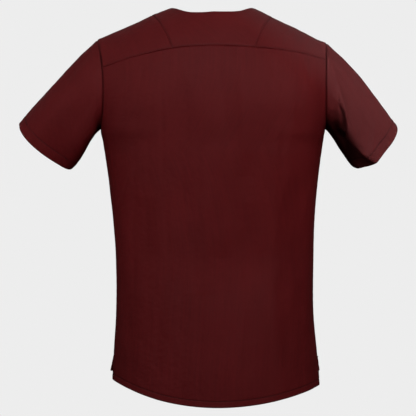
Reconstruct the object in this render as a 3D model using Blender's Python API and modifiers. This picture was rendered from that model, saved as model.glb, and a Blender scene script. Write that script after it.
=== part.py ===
"""Medical scrub top: a short-sleeved pull-over with a yoke and a V neck, in the hollow form it has when worn.

Metres, +Z up. The garment's back faces -Y and its front +Y, so the wearer's left is at -X. The origin is
midway between the wearer's two shoulders, at the height where they carry the cloth. Tables and sizes are in
millimetres.

The body is one smooth form. A point on it has a share, from -1 at the wearer's left edge through 0 at the
middle to 1 at the right edge, and a level, which climbs the back and comes down the front:
0 back hem, 1 armpit at the back, 2 back yoke seam, 3 shoulder line, 4 front yoke seam, 5 armpit at the
front, 6 front hem. Between levels 1 and 5 the edge is the armhole, and elsewhere it is the side seam.
"""

import bpy
import numpy as np

MM = 0.001

CLOTH = 1.6  # wall thickness
SEAM_GAP = 0.3  # between two pieces that are sewn together
CORNER_ROUNDS = 40  # how often a corner's vertex is moved clear of one seam and then the other
HALVINGS = 30  # of the search for a share

HEM, ARMPIT, YOKE, SHOULDER, FRONT_YOKE, FRONT_ARMPIT, FRONT_HEM = range(7)  # levels
VENT = 0.1  # levels from the hem up to the end of the side vent

# Middle line of the body, and how each row leaves it and arrives at the edge.
# slope: how steeply the row falls as it leaves the middle; reach, edge_reach: lengths of its Bezier handles;
# turn: how far round the side it has turned at the edge; dip: how steeply it falls there, in degrees.
MIDDLE_COLUMNS = ("level", "x", "y", "z", "slope", "reach", "edge_reach", "turn", "dip")
MIDDLE = (
    (0.00, 5, -127, -723, 0, 118, 74, 88, 5),
    (0.10, 4, -127, -678, 0, 118, 74, 88, -2),
    (0.35, 2, -123, -564, 0, 116, 70, 88, -14),
    (0.60, 0, -115, -440, 0, 114, 68, 88, -16),
    (0.80, -1, -119, -340, 0, 116, 82, 86, -20),
    (1.00, -1, -125, -238, 0, 122, 96, 80, -22),
    (1.25, -1, -126, -192, 0, 124, 72, 70, -21),
    (1.50, -1, -123, -147, 0, 118, 64, 52, -10),
    (1.75, 0, -115, -103, 0, 104, 60, 38, 2),
    (2.00, 0, -101, -60, 0, 92, 64, 28, 14),
    (2.25, 0, -85, -26, 0, 84, 68, 20, 19),
    (2.50, 0, -64, 3, 0, 78, 70, 12, 22),
    (3.00, 0, 3, 50, 17, 74, 74, 0, 25),
    (3.50, 0, 52, 24, 14, 76, 70, 12, 22),
    (4.00, 0, 81, -28, 0, 86, 66, 26, 16),
    (4.50, 0, 109, -116, 0, 104, 62, 46, -4),
    (5.00, 0, 123, -232, 0, 122, 96, 80, -22),
    (5.20, 0, 119, -340, 0, 116, 82, 86, -20),
    (5.40, 0, 114, -440, 0, 114, 68, 88, -16),
    (5.65, 2, 116, -550, 0, 116, 70, 88, -10),
    (5.90, 4, 119, -640, 0, 116, 72, 88, -6),
    (6.00, 4, 120, -674, 0, 116, 72, 88, -6),
)

BODY_HALF_WIDTH, BODY_HALF_DEPTH = 200, 122  # of the ellipse that the folds are square to

EVENING_REACH = 0.42  # levels from an armpit within which rows are evened out
EVENING_SPAN = 0.24  # how many levels up and down
EVENING_POWER = 12  # how closely this keeps to the edge, which stays as it is

# Side seam from the hem up to the armpit. height: share of the way from the hem's level to the armpit's.
SIDE_COLUMNS = ("height", "left", "right", "y", "left_z", "right_z")
SIDE = (
    (0.00, -192, 201, 2, -684, -694),
    (0.10, -190, 198, 2, -640, -647),
    (0.30, -185, 190, 1, -554, -556),
    (0.50, -185, 190, 0, -462, -462),
    (0.70, -191, 193, 0, -366, -366),
    (0.85, -202, 201, 0, -285, -285),
    (1.00, -214, 212, 0, -209, -209),
)
FRONT_CORNER_Z = -668  # the front hem is shorter than the back one
FRONT_FLARE = (5, 1)  # how far its left and right corner stand out past the back ones
VENT_SPREAD = 5  # how far the two corners of a side vent part

# Armholes: top and bottom of each loop, where the back yoke seam meets it, in degrees from the armpit, and
# how much further in than the line between top and bottom the back edge is cut.
ARMHOLE_COLUMNS = ("side", "top_x", "top_z", "bottom_x", "bottom_z", "yoke_turn", "back_cut")
ARMHOLES = (
    (-1, -222, -40, -214, -209, 109, 10),
    (1, 215, -46, 212, -209, 123, 3),
)
ARMHOLE_DEPTH = 64  # half of it, front to back
ARMHOLE_EGG = 0.16  # the loop is wider near the armpit than near the shoulder
ARMHOLE_FORWARD = 3
ARMHOLE_FRONT_CUT = 13  # the same for the front edge
FRONT_YOKE_TURN = 232  # where the front yoke seam meets the armhole

# Neck and yoke seams, as distances from the middle at each level. Both V lines end on the middle line.
BACK_NECK_LEVEL = 2.55  # the back neckline at the middle
BACK_NECK_POWER = 3.8  # how squarely it turns up to the shoulder
BOW_POWER = 3  # how fast the bow of the diagonal seams dies away towards the middle of the yoke
SEAM_COLUMNS = ("level", "x")
DIAGONAL_SEAM = ((2.00, 77), (2.16, 84), (2.41, 96), (2.75, 108), (3.00, 114))
FRONT_NECKLINE = ((3.00, 82), (3.50, 74), (4.00, 52), (4.55, 0))
BAND_SEAM = ((3.00, 114), (3.50, 107), (4.00, 86), (4.80, 0))

# Sleeve hems: top and bottom of each ring, how far forward its middle lies, half of its depth from front to
# back, how far it tilts forward, and how the cap leaves the shoulder.
HEM_RING_COLUMNS = (
    "side", "top_x", "top_z", "bottom_x", "bottom_z", "y", "depth", "tilt", "cap_slope", "cap_reach"
)
HEM_RINGS = (
    (-1, -372, -199, -270, -278, 44, 50, 20, 47, 150),
    (1, 351, -196, 269, -280, 44, 50, 25, 38, 160),
)
UNDERARM = (54, 6, -24)  # Bezier handle with which the right sleeve leaves the armpit
BACK_FULLNESS = (30, -18, 0)  # how much further the handle of its back reaches, and of its front falls short
HEM_REACH = (90, 150)  # handle with which a sleeve arrives at its hem, at the bottom and at the top
SLEEVE_LENGTH = 200  # on average, for laying out its folds
CALM_ROOT = 0.2  # share of the sleeve in which its folds rise from nothing

# Largest folds of the body: each runs from one point to another of the back, side -1, or the front, side 1.
# width: from its middle to where it has lost two thirds of its depth; depth: a trough, or below 0 a ridge.
BODY_FOLD_COLUMNS = ("side", "x_0", "z_0", "x_1", "z_1", "width", "depth")
BODY_FOLDS = (
    (-1, -70, -80, -2, -240, 22, -4),
    (-1, -2, -235, -12, -520, 24, -4),
    (-1, 22, -95, 34, -290, 15, 4),
    (-1, 66, -100, 58, -300, 22, -3),
    (-1, 62, -350, 76, -610, 24, 4),
    (-1, 143, -300, 156, -490, 20, 4),
    (-1, -124, -340, -142, -520, 22, 4),
    (1, -62, -170, -86, -430, 26, -4),
    (1, 24, -240, 40, -480, 20, 4),
    (1, 112, -210, 124, -500, 24, -3),
    (1, -122, -330, -136, -580, 24, 4),
    (1, -8, -400, -20, -640, 24, 3),
)

# Largest folds of the sleeves, from one point to another: degrees round from the armpit, and the way along.
SLEEVE_FOLD_COLUMNS = ("side", "turn_0", "along_0", "turn_1", "along_1", "width", "depth")
SLEEVE_FOLDS = (
    (1, 90, 0.00, 54, 0.66, 16, -10),
    (1, 50, 0.36, 78, 1.30, 16, -11),
    (1, 31, 0.08, 29, 0.94, 15, 7),
    (1, 30, 0.50, 42, 1.16, 14, 5),
    (1, 285, 0.20, 300, 0.90, 18, 4),
    (-1, 42, 0.00, 32, 1.30, 24, -10),
    (-1, 84, 0.10, 78, 0.90, 20, 3),
    (-1, 290, 0.20, 300, 0.90, 18, 4),
)

# Grid: how many steps each stretch is divided into.
SIDE_STEPS = 20
ARMHOLE_STEPS = 8
YOKE_STEPS = 5
BODY_STEPS = 14  # from the middle to the edge
CENTRE_STEPS = 9
ARM_COLUMNS = 3  # of the centre steps, that end on the shoulder line
YOKE_STEPS_ACROSS = 7
BAND_STEPS_ACROSS = 3
SLEEVE_STEPS = 13


def columns(names, rows):
    """The table as one array for each named column."""
    return dict(zip(names, np.array(rows, float).T))


MIDDLE_TABLE = columns(MIDDLE_COLUMNS, MIDDLE)
SIDE_TABLE = columns(SIDE_COLUMNS, SIDE)
ARMHOLE_TABLE = columns(ARMHOLE_COLUMNS, ARMHOLES)
NECKLINE_TABLE = columns(SEAM_COLUMNS, FRONT_NECKLINE)
BAND_TABLE = columns(SEAM_COLUMNS, BAND_SEAM)
DIAGONAL_TABLE = columns(SEAM_COLUMNS, DIAGONAL_SEAM)
HEM_RING_TABLE = columns(HEM_RING_COLUMNS, HEM_RINGS)


def steps(start, end, count):
    return np.linspace(start, end, count + 1)


def chained(*stretches):
    """Joins stretches of levels, each of which starts where the one before ends."""
    return np.concatenate([stretches[0]] + [stretch[1:] for stretch in stretches[1:]])


VENT_LEVELS = steps(HEM, VENT, 2)
SIDE_LEVELS = chained(VENT_LEVELS, steps(VENT, ARMPIT, SIDE_STEPS - 2))
BACK_LEVELS = chained(SIDE_LEVELS, steps(ARMPIT, YOKE, ARMHOLE_STEPS))
BACK_YOKE_LEVELS = steps(YOKE, SHOULDER, YOKE_STEPS)
FRONT_YOKE_LEVELS = steps(SHOULDER, FRONT_YOKE, YOKE_STEPS)
V_LEVELS = steps(FRONT_YOKE, BAND_SEAM[-1][0], ARMHOLE_STEPS - 1)
FRONT_SIDE_LEVELS = chained(np.array([BAND_SEAM[-1][0], FRONT_ARMPIT]), (FRONT_HEM - SIDE_LEVELS)[::-1])
ARMHOLE_LEVELS = chained(
    BACK_LEVELS[SIDE_STEPS:], BACK_YOKE_LEVELS, FRONT_YOKE_LEVELS, V_LEVELS, FRONT_SIDE_LEVELS[:2]
)


def curve(at, knots, values):
    """A smooth curve through the values at the knots: a cubic Hermite with slopes from the neighbours."""
    at, knots, values = np.asarray(at, float), np.asarray(knots, float), np.asarray(values, float)
    slopes = np.gradient(values, knots)
    i = np.clip(np.searchsorted(knots, at, side="right") - 1, 0, len(knots) - 2)
    step = knots[i + 1] - knots[i]
    t = np.clip((at - knots[i]) / step, 0, 1)
    return (
        (2 * t**3 - 3 * t**2 + 1) * values[i]
        + (t**3 - 2 * t**2 + t) * step * slopes[i]
        + (3 * t**2 - 2 * t**3) * values[i + 1]
        + (t**3 - t**2) * step * slopes[i + 1]
    )


def of_side(table, name, side):
    """The named column's value for each side, -1 or 1."""
    low, high = table[name]
    return np.where(side < 0, low, high)


def unit(vectors):
    return vectors / np.maximum(np.linalg.norm(vectors, axis=-1, keepdims=True), 1e-12)


# ------------------------------------------------------------------------------
# The form


def armhole_turn(side, level):
    """Degrees round the armhole from the armpit, by the back, for a level from 1 to 5."""
    levels = (ARMPIT, YOKE, SHOULDER, FRONT_YOKE, FRONT_ARMPIT)
    yoke_turns = ARMHOLE_TABLE["yoke_turn"]
    left, right = (np.interp(level, levels, (0, turn, 180, FRONT_YOKE_TURN, 360)) for turn in yoke_turns)
    return np.where(side < 0, left, right)


def armhole(side, level):
    """Point on the armhole seam: an egg-shaped loop, leaning out towards the shoulder."""
    turn = np.radians(armhole_turn(side, level))
    top_x, bottom_x = of_side(ARMHOLE_TABLE, "top_x", side), of_side(ARMHOLE_TABLE, "bottom_x", side)
    top_z, bottom_z = of_side(ARMHOLE_TABLE, "top_z", side), of_side(ARMHOLE_TABLE, "bottom_z", side)
    height = (1 - np.cos(turn)) / 2
    cut = np.where(np.sin(turn) > 0, of_side(ARMHOLE_TABLE, "back_cut", side), ARMHOLE_FRONT_CUT)
    x = bottom_x + (top_x - bottom_x) * height**2 - side * cut * np.abs(np.sin(turn)) ** 1.5
    y = ARMHOLE_FORWARD * height - ARMHOLE_DEPTH * np.sin(turn) * (1 + ARMHOLE_EGG * np.cos(turn))
    return np.stack([x, y, bottom_z + (top_z - bottom_z) * height], axis=-1)


def side_seam(side, level):
    """Point on the side seam, or on the edge of the vent below it."""
    back = level < SHOULDER
    height = np.clip(np.where(back, level, FRONT_HEM - level), 0, 1)
    at = {name: curve(height, SIDE_TABLE["height"], SIDE_TABLE[name]) for name in SIDE_COLUMNS[1:]}
    x, z = np.where(side < 0, at["left"], at["right"]), np.where(side < 0, at["left_z"], at["right_z"])
    opening = np.clip(1 - height / VENT, 0, 1)
    vent_z = np.interp(VENT, SIDE_TABLE["height"], SIDE_TABLE["left_z"])
    front_z = np.where(opening > 0, vent_z + (FRONT_CORNER_Z - vent_z) * opening, z)
    y = at["y"] + VENT_SPREAD * opening * np.where(back, -1, 1)
    front_x = x + side * np.where(side < 0, *FRONT_FLARE) * opening
    return np.stack([np.where(back, x, front_x), y, np.where(back, z, front_z)], axis=-1)


def edge(side, level):
    """Point where the body ends: on the armhole between the armpits, on the side seam elsewhere."""
    on_armhole = ((level > ARMPIT) & (level < FRONT_ARMPIT))[..., None]
    return np.where(on_armhole, armhole(side, level), side_seam(side, level))


EDGE_GUIDES = {side: edge(side, MIDDLE_TABLE["level"]) for side in (-1, 1)}


def edge_guide(side, level):
    """A line through the edge's points at the middle line's levels, smooth at the armpits too."""
    left, right = (
        np.stack([curve(level, MIDDLE_TABLE["level"], values) for values in EDGE_GUIDES[end].T], axis=-1)
        for end in (-1, 1)
    )
    return np.where((side < 0)[..., None], left, right)


def fold_depth(across, along, row, ends):
    """Depth of one fold: a smooth bump across the line between its ends, fading out towards both."""
    (across_0, along_0), (across_1, along_1) = ends
    run = np.array([across_1 - across_0, along_1 - along_0])
    length = np.hypot(*run)
    way = ((across - across_0) * run[0] + (along - along_0) * run[1]) / length**2
    off = ((across - across_0) * run[1] - (along - along_0) * run[0]) / length
    fade = np.sin(np.pi * np.clip(way, 0, 1)) ** 0.8
    return row["depth"] * fade * np.exp(-((off / row["width"]) ** 2))


def body_folds(points, share, level):
    """How far the folds draw the body in at each point."""
    depth = np.zeros(share.shape)
    for values in BODY_FOLDS:
        row = dict(zip(BODY_FOLD_COLUMNS, values))
        ends = (row["x_0"], row["z_0"]), (row["x_1"], row["z_1"])
        here = (level < SHOULDER) == (row["side"] < 0)
        depth += here * fold_depth(points[..., 0], points[..., 2], row, ends)
    return depth * (1 - np.abs(share) ** 6)


def body(share, level):
    """Point of the body's outer face, with its folds."""
    share, level = np.broadcast_arrays(np.asarray(share, float), np.asarray(level, float))
    points = plain_body(share, level)
    out = unit(points * (BODY_HALF_WIDTH**-2, BODY_HALF_DEPTH**-2, 0))
    return points - out * body_folds(points, share, level)[..., None]


def plain_body(share, level):
    """Point of the form without folds: a row, evened out with the rows beside it where it nears an armpit."""
    off = np.minimum(np.abs(level - ARMPIT), np.abs(level - FRONT_ARMPIT))
    near = np.clip(1 - off / EVENING_REACH, 0, 1) ** 0.5
    span = EVENING_SPAN * near * (1 - np.abs(share) ** EVENING_POWER)
    return row_point(share, level) / 2 + (row_point(share, level - span) + row_point(share, level + span)) / 4


def row_point(share, level):
    """Point of a row: a Bezier curve from the middle line to the edge."""
    side = np.where(share < 0, -1, 1)
    at = {name: curve(level, MIDDLE_TABLE["level"], MIDDLE_TABLE[name]) for name in MIDDLE_COLUMNS[1:]}
    slope, turn, dip = (np.radians(at[name]) for name in ("slope", "turn", "dip"))
    round_side = np.where(level < SHOULDER, 1, -1)
    start = np.stack([at["x"], at["y"], at["z"]], axis=-1)
    leaving = np.stack([side * np.cos(slope), 0 * slope, -np.sin(slope)], axis=-1)
    arriving = np.stack(
        [side * np.cos(turn) * np.cos(dip), round_side * np.sin(turn) * np.cos(dip), -np.sin(dip)], axis=-1
    )
    end = edge(side, level)
    first = start + at["reach"][..., None] * leaving
    second = edge_guide(side, level) - at["edge_reach"][..., None] * arriving
    t = np.abs(share)[..., None]
    return (1 - t) ** 3 * start + 3 * t * (1 - t) ** 2 * first + 3 * t**2 * (1 - t) * second + t**3 * end


def body_normal(share, level, step=2e-3):
    """Outward normal of the body, from points just beside this one."""
    share, level = np.broadcast_arrays(np.asarray(share, float), np.asarray(level, float))
    before, after = np.clip(level - step, HEM, FRONT_HEM), np.clip(level + step, HEM, FRONT_HEM)
    across = body(np.clip(share + step, -1, 1), level) - body(np.clip(share - step, -1, 1), level)
    return unit(np.cross(across, body(share, after) - body(share, before)))


def share_at(x, level):
    """The share at which the row of this level is as far from the middle as x, found by halving."""
    x, level = np.broadcast_arrays(np.asarray(x, float), np.asarray(level, float))
    side = np.where(x < 0, -1, 1)
    low, high = np.zeros(x.shape), np.ones(x.shape)
    for _ in range(HALVINGS):
        middle = (low + high) / 2
        short = side * (body(side * middle, level)[..., 0] - body(0 * x, level)[..., 0]) < np.abs(x)
        low, high = np.where(short, middle, low), np.where(short, high, middle)
    return side * low


def sleeve_ring(side):
    """Middle of a sleeve's hem ring, its half axes up and back, the way it faces, and its table row."""
    row = {name: float(of_side(HEM_RING_TABLE, name, side)) for name in HEM_RING_COLUMNS}
    top, bottom = (np.array([row[end + "_x"], row["y"], row[end + "_z"]]) for end in ("top", "bottom"))
    forward = np.array([0.0, 1.0, 0.0])
    down_arm = unit(np.cross(top - bottom, forward)) * -side
    tilt = np.radians(row["tilt"])
    facing = np.cos(tilt) * down_arm + np.sin(tilt) * forward
    back = (np.sin(tilt) * down_arm - np.cos(tilt) * forward) * row["depth"]
    return (top + bottom) / 2, (top - bottom) / 2, back, facing, row


def sleeve(side, level, along):
    """Point of a sleeve's outer face, with its folds: along runs from 0 at the armhole to 1 at the hem."""
    level, along = np.broadcast_arrays(np.asarray(level, float), np.asarray(along, float))
    points = plain_sleeve(side, level, along)
    under, over = (plain_sleeve(side, 0 * level + end, along) for end in (ARMPIT, SHOULDER))
    turn, depth = armhole_turn(side, level), np.zeros(level.shape)
    for values in SLEEVE_FOLDS:
        row = dict(zip(SLEEVE_FOLD_COLUMNS, values))
        if row["side"] == side:
            ends = [(row["turn_" + end], SLEEVE_LENGTH * row["along_" + end]) for end in "01"]
            depth += fold_depth(turn, SLEEVE_LENGTH * along, row, ends)
    depth *= np.clip(along / CALM_ROOT, 0, 1) ** 2
    return points - unit(points - (under + over) / 2) * depth[..., None]


def plain_sleeve(side, level, along):
    """Point of a sleeve without folds: a Hermite curve from the armhole to the hem ring."""
    middle, up, back, facing, row = sleeve_ring(side)
    turn = np.radians(armhole_turn(side, level))[..., None]
    over, behind = -np.cos(turn), np.sin(turn)
    root, hem = armhole(side, level), middle + over * up + behind * back
    cap = np.radians(row["cap_slope"])
    at_top = np.array([side * np.cos(cap), 0, -np.sin(cap)]) * row["cap_reach"]
    at_bottom, fullness = (np.array(handle) * (side, 1, 1) for handle in (UNDERARM, BACK_FULLNESS))
    high = (1 + over) / 2
    leave = at_bottom + (at_top - at_bottom) * high + behind * fullness
    arrive = facing * (HEM_REACH[0] + (HEM_REACH[1] - HEM_REACH[0]) * high)
    t = along[..., None]
    return (
        (2 * t**3 - 3 * t**2 + 1) * root
        + (t**3 - 2 * t**2 + t) * leave
        + (3 * t**2 - 2 * t**3) * hem
        + (t**3 - t**2) * arrive
    )


def sleeve_normal(side, level, along, step=2e-3):
    """Outward normal of a sleeve, from points just beside this one."""
    level, along = np.broadcast_arrays(np.asarray(level, float), np.asarray(along, float))
    before, after = np.clip(level - step, ARMPIT, FRONT_ARMPIT), np.clip(level + step, ARMPIT, FRONT_ARMPIT)
    around = sleeve(side, after, along) - sleeve(side, before, along)
    down = sleeve(side, level, np.clip(along + step, 0, 1)) - sleeve(side, level, np.clip(along - step, 0, 1))
    return unit(np.cross(down, around) * side)


# ------------------------------------------------------------------------------
# Walls


def quads(index):
    """The faces of a grid of vertex numbers, turned so that they face out."""
    corners = index[:-1, :-1], index[:-1, 1:], index[1:, 1:], index[1:, :-1]
    return np.stack(corners, axis=-1).reshape(-1, 4)


def grid_index(points, first=0):
    return first + np.arange(points[..., 0].size).reshape(points.shape[:2])


def face_normals(points, faces):
    """Normal of each vertex, from the faces that meet there."""
    corners = points[faces]
    across = np.cross(corners[:, 2] - corners[:, 0], corners[:, 3] - corners[:, 1])
    normals = np.zeros_like(points)
    for corner in range(4):
        np.add.at(normals, faces[:, corner], across)
    return unit(normals)


def seam_pulls(points, normals, line, next_line, seam_normals):
    """For each vertex of a seam: the way square to the seam's plane, the way into the piece, and how far to
    draw it back, so that the wall's inner face clears the neighbour's too."""
    along = unit(np.gradient(points[line], axis=0))
    inwards = points[next_line] - points[line]
    inwards = unit(inwards - along * np.sum(inwards * along, axis=-1, keepdims=True))
    square = unit(np.cross(along, seam_normals))
    square = square * np.sign(np.sum(square * inwards, axis=-1, keepdims=True))
    lean = np.sum(normals[line] * square, axis=-1)
    return zip(line.tolist(), square, inwards, SEAM_GAP / 2 + CLOTH * np.maximum(lean, 0))


def draw_back(points, faces, seams):
    """Moves the seams' vertices into the piece. One at a corner is moved until it clears all its seams."""
    normals = face_normals(points, faces)
    pulls = {}
    for seam in seams:
        for vertex, square, inwards, distance in seam_pulls(points, normals, *seam):
            pulls.setdefault(vertex, []).append((square, inwards, distance))
    moved = points.copy()
    for vertex, found in pulls.items():
        shift = np.zeros(3)
        for square, inwards, distance in found * CORNER_ROUNDS:
            shift += inwards * max(distance - shift @ square, 0) / max(inwards @ square, 0.5)
        moved[vertex] += shift
    return moved


def shell(name, points, faces, seams):
    """A cloth piece: an open surface, drawn back at its seams, with a Solidify that gives it its wall."""
    moved = draw_back(points, faces, seams)
    mesh = bpy.data.meshes.new(name)
    mesh.from_pydata((moved * MM).tolist(), [], faces.tolist())
    mesh.validate()
    mesh.shade_smooth()
    mesh.materials.append(cloth_material(name))
    piece = bpy.data.objects.new(name, mesh)
    garment.objects.link(piece)
    solidify = piece.modifiers.new("cloth", "SOLIDIFY")
    solidify.thickness = CLOTH * MM
    solidify.offset = -1
    return piece


def cloth_material(name):
    """Dyed cotton and polyester twill, wine red."""
    material = bpy.data.materials.new(name + "_cloth")
    material.use_nodes = True
    shader = material.node_tree.nodes["Principled BSDF"]
    shader.inputs["Base Color"].default_value = (0.060, 0.007, 0.008, 1)
    shader.inputs["Roughness"].default_value = 0.85
    shader.inputs["Metallic"].default_value = 0
    return material


# ------------------------------------------------------------------------------
# Pieces


def armhole_seam(side, levels):
    """The way the armhole seam faces, between the body's own normal and the sleeve's."""
    return unit(body_normal(side, levels) + sleeve_normal(side, levels, 0))


def side_seam_normals(side, levels):
    return unit(body_normal(side, levels) + body_normal(side, FRONT_HEM - levels))


def panel_sides(index, levels):
    """The side edges of a panel: a side seam as far as the armpit, and an armhole seam beyond it."""
    seams = []
    for side, line, next_line in ((-1, index[:, 0], index[:, 1]), (1, index[:, -1], index[:, -2])):
        under = (levels <= ARMPIT) | (levels >= FRONT_ARMPIT)
        round_arm = (levels >= ARMPIT) & (levels <= FRONT_ARMPIT)
        seams.append((line[under], next_line[under], side_seam_normals(side, levels[under])))
        seams.append((line[round_arm], next_line[round_arm], armhole_seam(side, levels[round_arm])))
    return seams


def back_panel():
    """The back, from its hem up to the yoke seam."""
    share, level = np.meshgrid(steps(-1, 1, 2 * BODY_STEPS), BACK_LEVELS)
    points = body(share, level)
    index = grid_index(points)
    top = (index[-1], index[-2], body_normal(share[-1], YOKE))
    return shell("back_panel", points.reshape(-1, 3), quads(index), panel_sides(index, BACK_LEVELS) + [top])


def front_panel():
    """The front, from its hem up to the point of the V, and beyond it an arm up to each yoke seam."""
    levels = FRONT_SIDE_LEVELS[::-1]
    share, level = np.meshgrid(steps(1, -1, 2 * BODY_STEPS), levels)
    main = body(share, level)
    index = grid_index(main)
    points, faces, seams = [main.reshape(-1, 3)], [quads(index)], []
    arm_levels = V_LEVELS[::-1]
    v_share = share_at(curve(arm_levels, BAND_TABLE["level"], BAND_TABLE["x"]), arm_levels)[:, None]
    half = steps(0, 1, BODY_STEPS)
    edges = []
    for side, joint in ((1, index[-1, : BODY_STEPS + 1]), (-1, index[-1, BODY_STEPS:])):
        across = side * (v_share + (1 - v_share) * half)
        across = across[:, ::-1] if side > 0 else across
        arm = body(across[1:], arm_levels[1:, None])
        arm_index = np.vstack([joint, grid_index(arm, sum(map(len, points)))])
        points.append(arm.reshape(-1, 3))
        faces.append(quads(arm_index))
        from_outer = arm_index if side > 0 else arm_index[:, ::-1]
        outer, by_outer, by_inner, inner = (from_outer[:, column] for column in (0, 1, -2, -1))
        v_normals = body_normal(side * v_share[:, 0], arm_levels)
        seams.append((inner, by_inner, v_normals))
        seams.append((arm_index[-1], arm_index[-2], body_normal(across[-1], FRONT_YOKE)))
        edges.append((side, outer, by_outer))
    for side, outer, by_outer in edges:
        main_line, by_main = (index[:, 0], index[:, 1]) if side > 0 else (index[:, -1], index[:, -2])
        line, next_line = (np.concatenate(pair) for pair in ((main_line, outer[1:]), (by_main, by_outer[1:])))
        all_levels = np.concatenate([levels, arm_levels[1:]])
        under, round_arm = all_levels >= FRONT_ARMPIT, all_levels <= FRONT_ARMPIT
        seams.append((line[under], next_line[under], side_seam_normals(side, all_levels[under])))
        seams.append((line[round_arm], next_line[round_arm], armhole_seam(side, all_levels[round_arm])))
    return shell("front_panel", np.concatenate(points), np.concatenate(faces), seams)


def yoke_centre():
    """The piece behind the neck, between the diagonal seams, with an arm up to each shoulder line."""
    columns_out = np.abs(np.arange(-CENTRE_STEPS, CENTRE_STEPS + 1))
    across = steps(-1, 1, 2 * CENTRE_STEPS)[None]
    up = ((BACK_YOKE_LEVELS - YOKE) / (SHOULDER - YOKE))[:, None]
    neck_edge, diagonal_top = FRONT_NECKLINE[0][1], DIAGONAL_SEAM[-1][1]
    arm = 1 - ARM_COLUMNS / CENTRE_STEPS
    top_x = np.interp(np.abs(across), (0, arm, 1), (0, neck_edge, diagonal_top))
    neck_rise = (SHOULDER - BACK_NECK_LEVEL) * np.minimum(top_x / neck_edge, 1) ** BACK_NECK_POWER
    top_level = BACK_NECK_LEVEL + neck_rise
    bottom_x = DIAGONAL_SEAM[0][1] * np.abs(across)
    straight = np.interp(up[:, 0], (0, 1), (bottom_x[0, 0], diagonal_top))
    bow = curve(BACK_YOKE_LEVELS, *DIAGONAL_TABLE.values()) - straight
    x = bottom_x + (top_x - bottom_x) * up + np.abs(across) ** BOW_POWER * bow[:, None]
    level = YOKE + (top_level - YOKE) * up
    share = share_at(x, level) * np.sign(across)
    points = body(share, level)
    index = grid_index(points)
    normals = body_normal(share, level)
    arm_end = columns_out >= CENTRE_STEPS - ARM_COLUMNS
    left_end, right_end = arm_end & (across[0] < 0), arm_end & (across[0] > 0)
    seams = [
        (index[0], index[1], normals[0]),
        (index[:, 0], index[:, 1], normals[:, 0]),
        (index[:, -1], index[:, -2], normals[:, -1]),
        (index[-1, left_end], index[-2, left_end], normals[-1, left_end]),
        (index[-1, right_end], index[-2, right_end], normals[-1, right_end]),
    ]
    return shell("yoke_centre", points.reshape(-1, 3), quads(index), seams)


def shoulder_yoke(name, side):
    """The piece over one shoulder, from the back yoke seam to the front one."""
    levels = chained(BACK_YOKE_LEVELS, FRONT_YOKE_LEVELS)
    back_x, front_x = (curve(levels, table["level"], table["x"]) for table in (DIAGONAL_TABLE, BAND_TABLE))
    seam_x = np.where(levels < SHOULDER, back_x, front_x)
    inner = share_at(seam_x, levels)[:, None]
    share = side * (inner + (1 - inner) * steps(0, 1, YOKE_STEPS_ACROSS))
    share = share[:, ::-1] if side < 0 else share
    level = np.broadcast_to(levels[:, None], share.shape)
    points = body(share, level)
    index, normals = grid_index(points), body_normal(share, level)
    normals[:, -1 if side > 0 else 0] = armhole_seam(side, levels)
    seams = [
        (index[0], index[1], normals[0]),
        (index[-1], index[-2], normals[-1]),
        (index[:, 0], index[:, 1], normals[:, 0]),
        (index[:, -1], index[:, -2], normals[:, -1]),
    ]
    return shell(name, points.reshape(-1, 3), quads(index), seams)


def neck_band(name, side):
    """One half of the V band, from the shoulder to the middle, where the two halves are sewn together."""
    outer_levels = chained(FRONT_YOKE_LEVELS, V_LEVELS)
    neck_levels = np.interp(outer_levels, BAND_TABLE["level"][[0, -1]], NECKLINE_TABLE["level"][[0, -1]])
    inner_x = curve(neck_levels, NECKLINE_TABLE["level"], NECKLINE_TABLE["x"])
    outer_x = curve(outer_levels, BAND_TABLE["level"], BAND_TABLE["x"])
    width = steps(0, 1, BAND_STEPS_ACROSS)
    x = inner_x[:, None] + (outer_x - inner_x)[:, None] * width
    level = neck_levels[:, None] + (outer_levels - neck_levels)[:, None] * width
    x, level = (x, level) if side > 0 else (x[:, ::-1], level[:, ::-1])
    share = side * share_at(x, level)
    points = body(share, level)
    index, normals = grid_index(points), body_normal(share, level)
    outer, by_outer = (-1, -2) if side > 0 else (0, 1)
    seams = [
        (index[0], index[1], normals[0]),
        (index[-1], index[-2], normals[-1]),
        (index[:, outer], index[:, by_outer], normals[:, outer]),
    ]
    return shell(name, points.reshape(-1, 3), quads(index), seams)


def sleeve_piece(name, side):
    """A set-in sleeve: a tube from the armhole to its hem."""
    along, level = np.meshgrid(steps(0, 1, SLEEVE_STEPS), ARMHOLE_LEVELS[:-1])
    points = sleeve(side, level, along)
    index = grid_index(points)
    ring = np.vstack([index, index[:1]])
    faces = quads(ring) if side < 0 else quads(ring)[:, ::-1]
    root = (ring[:, 0], ring[:, 1], armhole_seam(side, ARMHOLE_LEVELS))
    return shell(name, points.reshape(-1, 3), faces, [root])


for thing in list(bpy.data.objects):
    bpy.data.objects.remove(thing, do_unlink=True)
garment = bpy.data.collections.new("Scrub top")
bpy.context.scene.collection.children.link(garment)

back_panel()
front_panel()
yoke_centre()
shoulder_yoke("shoulder_yoke_left", -1)
shoulder_yoke("shoulder_yoke_right", 1)
neck_band("neck_band_left", -1)
neck_band("neck_band_right", 1)
sleeve_piece("sleeve_left", -1)
sleeve_piece("sleeve_right", 1)
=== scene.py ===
"""Medical scrub top in wine-red twill: a yoke, a V neck with a band, set-in short sleeves and side vents.

Every cut piece is a thin closed sheet on the form of its solid, with its creases, seams, hems and stitches.
Metres, +Z up, the garment's back facing -Y. Tables and sizes are in millimetres.
"""

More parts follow.
